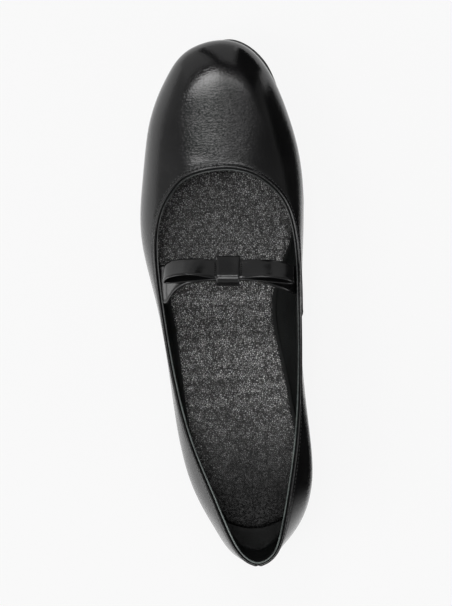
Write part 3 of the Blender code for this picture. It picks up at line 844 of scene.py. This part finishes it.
FOOTBED_HEIGHT = 2.0 * GAP + LASTING_THICKNESS + INSOLE_THICKNESS
FOOTBED_CENTRE = 0.02     # middle of the footbed at the heel, of the ball width
FOOTBED_CUP = 0.5
FOOTBED_FILLET = 1.3      # rise of the footbed where it meets the wall
FOOTBED_RAILS = 41


def footbed_height(x, y):
    """Height of the footbed: a little cupped at the heel."""
    cup = 1.0 - smooth(y, station_y(0.20), station_y(0.40))
    side = (x - spine_x(FOOTBED_CENTRE)) / 22.0
    return sole_top(y) + FOOTBED_HEIGHT - GAP + FOOTBED_CUP * cup * side * side


def make_footbed(line):
    """Smooth leather footbed that reaches the wall all round."""
    edge = line - plan_inward(line) * 0.35
    lateral, medial = edge[:SIDE], edge[:SIDE - 1:-1]
    shares = np.sin(np.linspace(-0.5, 0.5, FOOTBED_RAILS) * math.pi) * 0.5 + 0.5
    upper = lateral[:, None, :] + (medial - lateral)[:, None, :] * shares[None, :, None]
    width = np.linalg.norm(medial - lateral, axis=1)[:, None]
    from_wall = np.minimum(shares, 1.0 - shares)[None, :] * width
    fillet = FOOTBED_FILLET * held(1.0 - from_wall / 3.2) ** 2
    upper[..., 2] = footbed_height(upper[..., 0], upper[..., 1]) + fillet
    lower = upper.copy()
    lower[..., 2] = sole_top(lower[..., 1]) + 0.6
    slab("footbed", upper, lower, LINING, node="insole")


# Sock: station, lateral edge's distance from the wall, medial edge's
SOCK_EDGE = (
    (0.085, 2.2, 1.6),
    (0.110, 1.4, 1.4),
    (0.180, 1.1, 1.2),
    (0.250, 1.0, 1.0),
    (0.400, 1.0, 1.2),
    (0.550, 1.0, 1.2),
    (0.600, 0.5, 0.8),
    (0.640, 0.2, 0.2),
    (0.930, 0.2, 0.2),
)
SOCK_REAR = 0.0765        # station of the sock's rear corners
SOCK_FRONT = 0.93
SOCK_ARC = 3.4            # how far its rear edge bulges back between them
SOCK_RISE = 0.70          # its upper face over the footbed
SOCK_EDGE_FALL = 0.55     # rounding of its border
SOCK_PLACES = 150
SOCK_RAILS = 61


def make_sock(line):
    """Pebbled sock: a thin sheet on the footbed that ends in an arc at the heel."""
    lateral, medial = line[:SIDE], line[:SIDE - 1:-1]
    stations = np.linspace(SOCK_REAR, SOCK_FRONT, SOCK_PLACES)
    y = station_y(stations)
    low = np.interp(y, lateral[:, 1], lateral[:, 0])
    high = np.interp(y, medial[:, 1], medial[:, 0])
    knots = [row[0] for row in SOCK_EDGE]
    places = np.maximum(stations, knots[0])
    low = low + open_spline(knots, [row[1] for row in SOCK_EDGE], places)
    high = high - open_spline(knots, [row[2] for row in SOCK_EDGE], places)
    shares = np.linspace(0.0, 1.0, SOCK_RAILS)
    x = low[:, None] + (high - low)[:, None] * shares[None, :]
    arc = 1.0 - smooth(stations, SOCK_REAR, 0.16)
    bulge = SOCK_ARC * (1.0 - ((x - spine_x(FOOTBED_CENTRE)) / 13.0) ** 2)
    y = np.broadcast_to(y[:, None], x.shape) - bulge * arc[:, None]
    upper = xyz(x, y, footbed_height(x, y))
    border = np.minimum(shares, 1.0 - shares)[None, :] * (high - low)[:, None]
    border = np.minimum(border, np.abs(stations - stations[0])[:, None] * LENGTH + 0.02)
    round_off = SOCK_EDGE_FALL * held(1.0 - border / 0.9) ** 2
    lower = upper.copy()
    upper[..., 2] += SOCK_RISE - round_off
    lower[..., 2] -= 0.1
    slab("pebbled_sock", upper, lower, SOCK)


SOLE_PEEK = 1.7           # outsole seen beyond the upper, on the medial side of the toe
SHARP_ANGLE = 38.0        # edges of sole and heel sharper than this are not smoothed

# Rails of the outsole: out of the feather line, above the outsole's upper face
SOLE_RAILS = ((1.1, 0.0), (1.4, -0.12), (1.5, -0.45), (1.5, -2.3), (1.38, -2.72), (1.05, -3.0),
              (-2.2, -3.0), (-2.45, -2.86), (-2.7, -3.0))

# Rails of the heel block: place between its top and the floor, how much further in
HEEL_RAILS = ((0.0, 0.0), (0.30, 0.0), (0.66, 0.0), (0.685, 0.22), (0.71, 0.22), (0.735, 0.0),
              (0.95, 0.0), (1.0, 0.3))
HEEL_PLACES = 70          # places along each side of the heel block


def outline_at(margin):
    """Outline of the outsole: a margin outside the feather line, more at the medial toe."""
    angles = column_angles(SIDE)
    line = feather_line(angles)
    turn = np.degrees(angles) - 180.0
    peek = SOLE_PEEK * smooth(turn, -6.0, 8.0) * (1.0 - smooth(turn, 24.0, 42.0))
    return line - plan_inward(line) * (margin + peek[:, None])


def ladder(name, rails, finish_of_rail):
    """Solid of edge and sole between matching rails of its two sides, from top to bottom.

    The finish of each strip between two rails is 0 for the black edge and 1 for the rubber.
    """
    rails = np.stack(rails)
    number, count = len(rails), rails.shape[1] // 2
    points = np.concatenate([rails[:, :count], rails[:, :count - 1:-1]]).reshape(-1, 3)
    offset = number * count
    faces, finish_of = [], []
    for i in range(count - 1):
        for j in range(number - 1):
            a = j * count + i
            faces.append((a, a + 1, a + count + 1, a + count))
            b = a + offset
            faces.append((b, b + count, b + count + 1, b + 1))
            finish_of += [finish_of_rail[j]] * 2
        for rail, kind in ((0, 0), ((number - 1) * count, finish_of_rail[-1])):
            faces.append((rail + i, rail + i + 1, offset + rail + i + 1, offset + rail + i))
            finish_of.append(kind)
    for end in (0, count - 1):
        for j in range(number - 1):
            a = j * count + end
            faces.append((a, a + count, offset + a + count, offset + a))
            finish_of.append(finish_of_rail[j])
    return make_piece(name, points, faces, [EDGE, SOLE], finish_of, SHARP_ANGLE)


def make_outsole():
    """Thin sole with a smooth black edge and a rubber underside."""
    rails = [on_sole(outline_at(margin), height) for margin, height in SOLE_RAILS]
    piece = ladder("sole", rails, (0, 0, 0, 0, 0, 1, 1, 1, 1))
    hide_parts("outsole")


def make_heel():
    """Low heel block: lifts with a fine line above the top piece."""
    share = (BREAST_STATION - HEEL_FEATHER_STATION) / (TOE_FEATHER_STATION - HEEL_FEATHER_STATION)
    breast = math.acos(1.0 - 2.0 * share)
    count = HEEL_PLACES
    half = (np.arange(count) + 0.5) / (count - 0.5) * breast
    angles = np.concatenate([half, 2.0 * math.pi - half[::-1]])
    line = feather_line(angles)
    fine = np.linspace(0.0, 2.0 * math.pi, 721)[:-1]
    pull = unit(read_along(plan_inward(feather_line(fine)), fine, angles))
    rails = []
    for share, extra in HEEL_RAILS:
        inset = SOLE_MARGIN - HEEL_INSET - HEEL_TAPER * share - extra
        rail = line - pull * inset
        rail[count - 1, 1] = station_y(BREAST_STATION) - extra * 0.6
        rail[count, 1] = rail[count - 1, 1]
        high = sole_bottom(rail[:, 1]) - 0.02
        rail[:, 2] = high * (1.0 - share)
        rails.append(rail)
    piece = ladder("heel_block", rails, (0, 0, 0, 0, 0, 0, 1, 1))
    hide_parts("heel")


def bow_frame():
    place = Vector((spine_x(BOW_REACH), station_y(BOW_STATION), WAIST_HEIGHT + BAND_RISE))
    turn = Euler((BOW_TILT, 0.0, BOW_TURN), "XYZ").to_matrix()
    return np.array(place), np.array(turn)


def seated(points):
    place, turn = bow_frame()
    return points @ turn.T + place


def rounded_strap(width, thickness, across=9):
    """Section of a strap with folded, round edges: offsets across it and through it."""
    half = width / 2.0
    radius = thickness / 2.0
    section = []
    for side, first_turn in ((1.0, 60.0), (-1.0, 240.0)):
        for k in range(across):
            share = side * (k / (across - 1) * 2.0 - 1.0)
            section.append((share * (half - radius), side * radius))
        for k in range(5):
            turn = math.radians(first_turn - 30.0 * k)
            section.append((side * (half - radius) + radius * math.cos(turn),
                            radius * math.sin(turn)))
    return np.array(section)


def bow_path(count, lift):
    """Middle line of the bow's strap: one flattened ring, pinched in the middle by the knot."""
    pinch = (BOW_LAYER + GAP) / 2.0
    path = []
    for turn in (np.arange(count) + 0.5) / count * 2.0 * math.pi:
        share = math.cos(turn)
        reach = abs(share)
        loop = lift * (MEDIAL_LOOP if share > 0.0 else LATERAL_LOOP)
        clear = max(reach - (KNOT_WIDTH + BOW_LAYER) / BOW_LENGTH, 0.0)
        opening = min(clear / LOOP_CREST, 1.0)
        swell = loop * opening ** LOOP_START * (1.0 + LOOP_START * (1.0 - opening))
        droop = BOW_DROOP * clear ** DROOP_POWER
        bottom = -pinch - droop
        top = pinch + swell - droop
        end = bottom + LOOP_END * loop
        close = math.sqrt(1.0 - reach ** LOOP_SQUARE)
        layer = top if math.sin(turn) > 0.0 else bottom
        path.append((share * BOW_LENGTH / 2.0, end + (layer - end) * close))
    return np.array(path)


# Small creases of the bow's top layer: two ends along and across the strap, half width, depth
BOW_CREASES = (
    (7.6, -3.4, 14.5, -1.9, 0.45, 0.18),
    (7.8, -0.6, 15.0, 0.4, 0.45, 0.16),
    (8.0, 2.6, 13.5, 2.9, 0.40, 0.12),
    (17.0, 1.9, 27.0, 0.6, 0.70, 0.10),
    (20.0, -2.2, 28.0, -0.6, 0.60, 0.10),
    (-7.8, -3.0, -12.0, -1.8, 0.50, 0.08),
    (-7.8, 1.4, -12.5, 1.2, 0.50, 0.07),
)


BOW_PLACES = 260
BOW_PINCH = 0.03          # narrowing of the strap at the knot
BOW_CORNER = 2.0          # rounding of its front corners
BOW_BEAD = 0.10           # folded edge of the strap


def make_bow():
    """Bow: one strap laid in a flat ring with its two loops, and its small creases."""
    count = BOW_PLACES
    upper_half = np.sin((np.arange(count) + 0.5) / count * 2.0 * math.pi) > 0.0
    section = rounded_strap(BOW_WIDTH, BOW_LAYER)
    grid = np.zeros((count, len(section), 3))
    outward = np.zeros((count, len(section), 2))
    for j, (sideways, through) in enumerate(section):
        forward = sideways / BOW_WIDTH + 0.5
        path = bow_path(count, 1.0 + forward * (FRONT_LIFT - 1.0))
        outward[:, j] = ring_outward(path)
        ring = path + outward[:, j] * through
        grid[:, j, 0] = ring[:, 0]
        grid[:, j, 2] = ring[:, 1]
        reach = np.abs(ring[:, 0]) / (BOW_LENGTH / 2.0)
        pinch = 1.0 - BOW_PINCH * (1.0 - smooth(reach, 0.18, 0.40))
        grid[:, j, 1] = sideways * pinch
    corner = held((grid[..., 1] - BOW_WIDTH / 2.0 + BOW_CORNER) / BOW_CORNER) ** 2
    outer_end = smooth(np.abs(grid[..., 0]), BOW_LENGTH / 2.0 - 4.0, BOW_LENGTH / 2.0)
    grid[..., 0] -= np.sign(grid[..., 0]) * BOW_CORNER * 0.7 * corner * outer_end
    relief = np.zeros(grid.shape[:2])
    for x0, y0, x1, y1, half, depth in BOW_CREASES:
        gap, share = segment_share(grid[..., 0], grid[..., 1], x0, y0, x1, y1)
        fade = held(1.0 - np.maximum(share, 0.0)) ** 0.6
        relief -= depth * bell(gap, half) * fade
    relief *= upper_half[:, None]
    edge = np.abs(grid[..., 1]) / (BOW_WIDTH / 2.0)
    relief += BOW_BEAD * bell(edge - 0.86, 0.07)
    rim = np.abs(grid[..., 1]) < BOW_WIDTH / 2.0 - 0.1
    grid[..., 0] += outward[..., 0] * relief * rim
    grid[..., 2] += outward[..., 1] * relief * rim
    piece = make_piece("bow_loops", seated(grid.reshape(-1, 3)),
                       ring_faces(count, grid.shape[1]), [BOW_LEATHER])
    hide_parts("bow")


KNOT_LOOSE = 0.9          # how much longer the soft knot is than bow and band need
KNOT_CORNER = 1.2         # rounding of its corners
KNOT_REAR_CORNER = 2.6    # rounding of the fold at its rear upper edge
KNOT_WAIST = 0.035        # how much narrower it is in the middle
KNOT_PLACES = 96

# Pleats of the knot: place across it, half width, height
KNOT_PLEATS = ((-4.6, 0.5, 0.05), (4.6, 0.5, 0.05), (1.4, 0.9, -0.03), (-2.3, 0.9, -0.02))

# Stitch holes beside the knot, drawn as near-black stubs of painted shade: number, first one and
# pitch along it, distance from it
HOLE_COUNT = 6
HOLE_START = -2.9
HOLE_PITCH = 1.15
HOLE_GAP = 0.75
HOLE_HALF = 0.28
HOLE_RADIUS = 0.26


def make_knot_holes():
    """Stitch holes in the bow on both sides of the knot, drawn as near-black stubs: painted shade
    of the holes.
    """
    stitches = []
    for side in (-1.0, 1.0):
        for k in range(HOLE_COUNT):
            place = np.array([side * (KNOT_WIDTH / 2.0 + HOLE_GAP), HOLE_START + HOLE_PITCH * k,
                              1.28])
            half = np.array([HOLE_HALF, 0.0, 0.0])
            ends = seated(np.stack([place - half, place + half, place + (0.0, 0.0, 1.0)]))
            stitches.append((ends[0], ends[1], ends[2] - (ends[0] + ends[1]) / 2.0))
    thread_piece("knot_holes", stitches, HOLE_RADIUS, HOLE_SHADE)


def make_knot():
    """Knot: a ring of folded leather round bow and band, folded gently at its rear upper edge."""
    length = max(BAND_WIDTH, BOW_WIDTH) + 2.0 * GAP + KNOT_WALL + KNOT_LOOSE
    high = BOW_LAYER + PRESS + KNOT_WALL / 2.0
    low = -(BOW_LAYER + PRESS + BAND_THICKNESS + 2.0 * GAP + KNOT_WALL / 2.0)
    path = []
    corners = ((1, high, 0.0, KNOT_CORNER), (-1, high, 0.5, KNOT_REAR_CORNER),
               (-1, low, 1.0, KNOT_CORNER), (1, low, 1.5, KNOT_CORNER))
    for side, height, start, rounding in corners:
        centre_y = side * (length / 2.0 - rounding)
        centre_z = height - math.copysign(rounding, height)
        for k in range(9):
            turn = math.pi * (start + k / 16.0)
            path.append((centre_y + rounding * math.cos(turn),
                         centre_z + rounding * math.sin(turn)))
    closed = np.array(path + path[:1])
    travelled = travel(closed)
    count = KNOT_PLACES
    path = read_along(closed, travelled, np.arange(count) / count * travelled[-1])
    outward = ring_outward(path)
    waist = 1.0 - KNOT_WAIST * bell(path[:, 0], 3.0)
    section = rounded_strap(KNOT_WIDTH, KNOT_WALL, 17)
    grid = np.zeros((count, len(section), 3))
    for j, (sideways, through) in enumerate(section):
        if through > 0.0:
            through += sum(height * bell(sideways - x, half) for x, half, height in KNOT_PLEATS)
        grid[:, j, 0] = sideways * waist
        grid[:, j, 1:] = path + outward * through
    make_knot_holes()
    piece = make_piece("knot", seated(grid.reshape(-1, 3)), ring_faces(count, len(section)),
                       [BOW_LEATHER])
    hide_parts("bow_knot")


def wall_reach(grid, side, y, z):
    """Place across the shoe of the upper's inner face at y and z; side is -1 or 1."""
    rows = grid[:, INNER_FACE]
    half = rows[:SIDE] if side < 0 else rows[:SIDE - 1:-1]
    places = []
    for curve in half:
        if abs(curve[0, 1]) < LENGTH / 3.0:
            order = np.argsort(curve[:, 2])
            places.append([np.interp(z, curve[order, 2], curve[order, k]) for k in (1, 0)])
    places = np.array(sorted(places))
    return float(np.interp(y, places[:, 0], places[:, 1]))


BAND_PLACES = 70          # places along the band's arch
BAND_RAILS = 25
WEB_X = -28.5             # lateral end of the band, where it spreads into a flat web at the wall
WEB_HEIGHT = 35.0
WEB_RISE = 0.42
WEB_FALL = 0.06
TUCK_STEPS = (0.12, 0.26, 0.44, 0.65, 0.85, 1.0)     # rows of the band on its tucked depth
BAND_FOLD = 0.7           # width of the round edge of the band
BAND_BEAD = 0.22          # and the raised line beside it


def make_band(grid):
    """Instep band: a folded strap that arches over the opening, its ends inside the collar."""
    place, _ = bow_frame()
    knots = [row[0] for row in BAND]
    places = np.linspace(knots[0], knots[-1], BAND_PLACES)
    lift, rear, front = (open_spline(knots, [row[k] for row in BAND], places) for k in (1, 2, 3))
    tilt = math.tan(-BOW_TILT)
    lean = math.tan(BOW_TURN)
    below = BOW_LAYER + PRESS + BAND_THICKNESS / 2.0
    shares = np.sin(np.linspace(-0.5, 0.5, BAND_RAILS) * math.pi) * 0.5 + 0.5
    strips = []
    for reach, height, back, ahead in zip(places, lift, rear, front):
        x = spine_x(reach)
        y_middle = place[1] + lean * (x - place[0]) + below * math.sin(BOW_TILT)
        across = (back + shares * (ahead - back)) * BAND_WIDTH * math.cos(BOW_TILT)
        z_middle = place[2] - below * math.cos(BOW_TILT) - BAND_RISE * (1.0 - height)
        z = z_middle - across * tilt * math.sqrt(max(height, 0.0))
        strips.append(np.stack([np.full(BAND_RAILS, x), y_middle + across, z], axis=-1))
    for end, side in ((0, -1), (-1, 1)):
        lip = strips[end]
        tucked = []
        for step in TUCK_STEPS:
            z = np.minimum(lip[:, 2], WAIST_HEIGHT) - BAND_TUCK * step
            x = [wall_reach(grid, side, y, h) - side * BAND_THICKNESS / 2.0
                 for y, h in zip(lip[:, 1], z)]
            tucked.append(np.stack([np.array(x), lip[:, 1], z], axis=-1))
        strips = tucked[::-1] + strips if end == 0 else strips + tucked
    middle = np.stack(strips)
    x, y = middle[..., 0], middle[..., 1]
    web = WEB_HEIGHT + WEB_RISE * (x - WEB_X) + WEB_FALL * (y - place[1])
    share = (1.0 - smooth(x, WEB_X + 3.0, WEB_X + 16.0)) * smooth(middle[..., 2], 30.0, 33.0)
    middle[..., 2] += share * (web - middle[..., 2])
    normal = unit(np.cross(np.gradient(middle, axis=0), np.gradient(middle, axis=1)))
    width = np.linalg.norm(middle[:, -1] - middle[:, 0], axis=-1)[:, None]
    from_edge = np.minimum(shares, 1.0 - shares)[None, :] * width
    fold = np.sqrt(1.0 - held(1.0 - from_edge / BAND_FOLD) ** 2)
    bead = BAND_BEAD * bell(from_edge - 0.9, 0.45)
    upper_face = middle + normal * ((BAND_THICKNESS / 2.0 + bead) * fold)[..., None]
    lower_face = middle - normal * (BAND_THICKNESS / 2.0 * fold)[..., None]
    loops = np.concatenate([upper_face, lower_face[:, ::-1][:, 1:-1]], axis=1)
    piece = make_piece("band", loops.reshape(-1, 3), tube_faces(*loops.shape[:2]), [BOW_LEATHER])
    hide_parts("instep_band")


# Light of the studio by direction. First the level by height above the horizon, as the sine of
# the elevation; then soft-edged fields: from the zenith (low, high), from the toe's direction
# towards the medial side (low, high), width of the soft edge, level. Angles in degrees.
SKY = ((0.0, 0.52), (0.20, 0.45), (0.60, 0.40), (0.84, 0.34), (0.92, 0.29), (1.0, 0.28))
FIELDS = (
    (-9.0, 14.0, -190.0, 190.0, 6.0, 4.2),
    (34.0, 95.0, 40.0, 104.0, 8.0, 0.13),
    (60.0, 84.0, 46.0, 74.0, 8.0, 0.22),
    (76.0, 95.0, 68.0, 104.0, 10.0, 0.03),
    (60.0, 99.0, 106.0, 142.0, 8.0, 2.4),
    (62.0, 99.0, -134.0, -86.0, 8.0, 3.6),
    (36.0, 56.0, -136.0, -91.0, 5.0, 4.6),
    (47.0, 59.0, -32.0, 20.0, 5.0, 0.15),
    (33.5, 41.0, -8.0, 27.0, 4.0, 4.0),
    (33.5, 46.5, -26.0, -4.0, 4.0, 9.0),
)
DEGREES = 180.0 / math.pi


def make_light():
    """Paint the studio's light on the world: a soft sky, softboxes and dark flags."""
    world = bpy.data.worlds.new("studio")
    bpy.context.scene.world = world
    world.use_nodes = True
    sky = Nodes(world.node_tree)

    def between(value, low, high, soft):
        """1 between two values, with soft edges."""
        rise, fall = (sky.spread(value, place - soft / 2.0, place + soft / 2.0)
                      for place in (low, high))
        return sky.compute("SUBTRACT", rise, fall)

    direction = sky.add("ShaderNodeTexCoord").outputs["Generated"]
    split = sky.add("ShaderNodeSeparateXYZ", {"Vector": direction}).outputs
    polar = sky.compute("MULTIPLY", sky.compute("ARCCOSINE", split["Z"]), DEGREES)
    turn = sky.compute("MULTIPLY", sky.compute("ARCTAN2", split["X"], split["Y"]), DEGREES)
    ramp = sky.add("ShaderNodeValToRGB", {"Fac": split["Z"]})
    stops = ramp.color_ramp.elements
    for stop, (place, level) in zip((stops[0], stops[1]), (SKY[0], SKY[-1])):
        stop.position = place
        stop.color = (level, level, level, 1.0)
    for place, level in SKY[1:-1]:
        stops.new(place).color = (level, level, level, 1.0)
    light = sky.compute("MULTIPLY", ramp.outputs["Color"], 1.0)
    for low, high, left, right, soft, level in FIELDS:
        field = sky.compute("MULTIPLY", between(polar, low, high, soft),
                            between(turn, left, right, soft))
        change = sky.compute("MULTIPLY", field, sky.compute("SUBTRACT", level, light))
        light = sky.compute("ADD", light, change)
    background = sky.tree.nodes["Background"].inputs
    sky.feed(background["Color"], light)
    sky.feed(background["Strength"], 1.0)


# Cards round the shoe that only its gloss shows: name, level, soft rear end (from, to), places of
# the lower edge and places of the upper edge
MEDIAL_LINE = ((43.0, -122.0), (45.0, -112.0), (47.0, -98.0), (46.0, -78.0), (46.0, -50.0),
               (50.0, -20.0), (56.0, 20.0), (57.0, 45.0), (57.0, 75.0), (58.0, 100.0),
               (62.0, 116.0), (72.0, 130.0))
SCREEN_LINE = ((-54.0, 160.0), (-35.0, 175.5), (-9.5, 185.0), (17.5, 185.0), (31.0, 181.0))
BLOCK_LINE = ((34.0, 171.0), (46.0, 164.0), (58.0, 153.0), (66.0, 142.0))
NO_FADE = (-901.0, -900.0)


def raised(line, height, lean=0.0):
    return tuple((x + lean, y, height) for x, y in line)


CARDS = (
    ("medial_card", 0.0, (-121.0, -95.0), raised(MEDIAL_LINE, 0.0),
     raised(MEDIAL_LINE, 48.0, 10.0)),
    ("toe_screen", 0.62, NO_FADE, raised(SCREEN_LINE, 0.0), raised(SCREEN_LINE, 70.0)),
    ("toe_block", 0.0, NO_FADE, raised(BLOCK_LINE, 0.0), raised(BLOCK_LINE, 80.0)),
    ("toe_bar", 0.0, NO_FADE,
     ((-19.8, 178.0, 2.1), (-14.7, 176.9, 20.7), (-3.2, 169.7, 42.6), (7.0, 160.3, 56.2),
      (16.1, 154.2, 62.0), (29.1, 154.3, 57.6)),
     ((-26.8, 176.0, 5.5), (-21.7, 174.9, 24.1), (-10.2, 167.7, 46.0), (0.0, 158.3, 59.6),
      (13.5, 148.6, 68.4), (26.5, 148.7, 64.0))),
    ("heel_glow", 2.0, NO_FADE, ((-320.0, -280.0, 1.0), (-320.0, -24.0, 1.0)),
     ((-105.0, -280.0, 1.0), (-105.0, -24.0, 1.0))),
)


def make_cards():
    """Cards that the glossy leather reflects; neither camera nor floor sees them."""
    for name, level, fade, lower, upper in CARDS:
        finish = Finish(name, (0.0, 0.0, 0.0), 1.0)
        glow = finish.add("ShaderNodeEmission", {"Color": (level, level, level, 1.0)})
        clear = finish.add("ShaderNodeBsdfTransparent")
        share = finish.forward(fade[0] * MM, fade[1] * MM, 0.0, 1.0)
        joined = finish.add("ShaderNodeMixShader", {
            "Fac": share, 1: clear.outputs["BSDF"], 2: glow.outputs["Emission"]})
        output = finish.tree.nodes["Material Output"]
        finish.feed(output.inputs["Surface"], joined.outputs["Shader"])
        faces = quads(numbered(2, len(lower)))
        card = new_object(name, lower + upper, faces, [finish.material])
        card.visible_camera = False
        card.visible_diffuse = False
        card.visible_shadow = False


FLOOR_HALF = 3000.0
FLOOR_SHADE = 0.06
FLOOR_GLOW = 0.885        # lifts the floor to the photograph's white

CAMERA_PLACE = (43.6, -4.6, 1000.0)
CAMERA_AIM = (-2.1, -1.9, 0.0)
CAMERA_UP = (0.0698, 0.9976, 0.0)
CAMERA_LENS = 121.4
CAMERA_SENSOR = 36.0
CAMERA_REACH = 20.0


def make_floor():
    """Plain pale floor at z = 0."""
    finish = Finish("floor", (FLOOR_SHADE, FLOOR_SHADE, FLOOR_SHADE), 0.8)
    finish.set("Specular IOR Level", 0.0)
    finish.set("Emission Color", (1.0, 1.0, 1.0, 1.0))
    finish.set("Emission Strength", FLOOR_GLOW)
    half = FLOOR_HALF
    corners = [(-half, -half, 0.0), (half, -half, 0.0), (half, half, 0.0), (-half, half, 0.0)]
    floor = new_object("floor", corners, [(0, 1, 2, 3)], [finish.material])


def make_camera():
    """Camera straight above the shoe, with the photograph's angle and frame."""
    camera = bpy.data.cameras.new("camera")
    camera.lens = CAMERA_LENS
    camera.sensor_width = CAMERA_SENSOR
    camera.clip_end = CAMERA_REACH
    made = bpy.data.objects.new("camera", camera)
    place = Vector(CAMERA_PLACE) * MM
    back = (place - Vector(CAMERA_AIM) * MM).normalized()
    right = Vector(CAMERA_UP).cross(back).normalized()
    up = back.cross(right)
    made.matrix_world = Matrix((
        (right.x, up.x, back.x, place.x),
        (right.y, up.y, back.y, place.y),
        (right.z, up.z, back.z, place.z),
        (0.0, 0.0, 0.0, 1.0)))
    bpy.context.scene.collection.objects.link(made)
    bpy.context.scene.camera = made
    settings = bpy.context.scene.view_settings
    settings.view_transform = "Standard"
    settings.look = "None"
    settings.exposure = 0.0
    settings.gamma = 1.0


upper = make_upper()
make_topline_stitches(upper)
inside = inner_line(upper, FOOTBED_HEIGHT)
make_footbed(inside)
make_sock(inside)
make_outsole()
make_heel()
make_band(upper)
make_bow()
make_knot()
make_floor()
make_cards()
make_light()
make_camera()
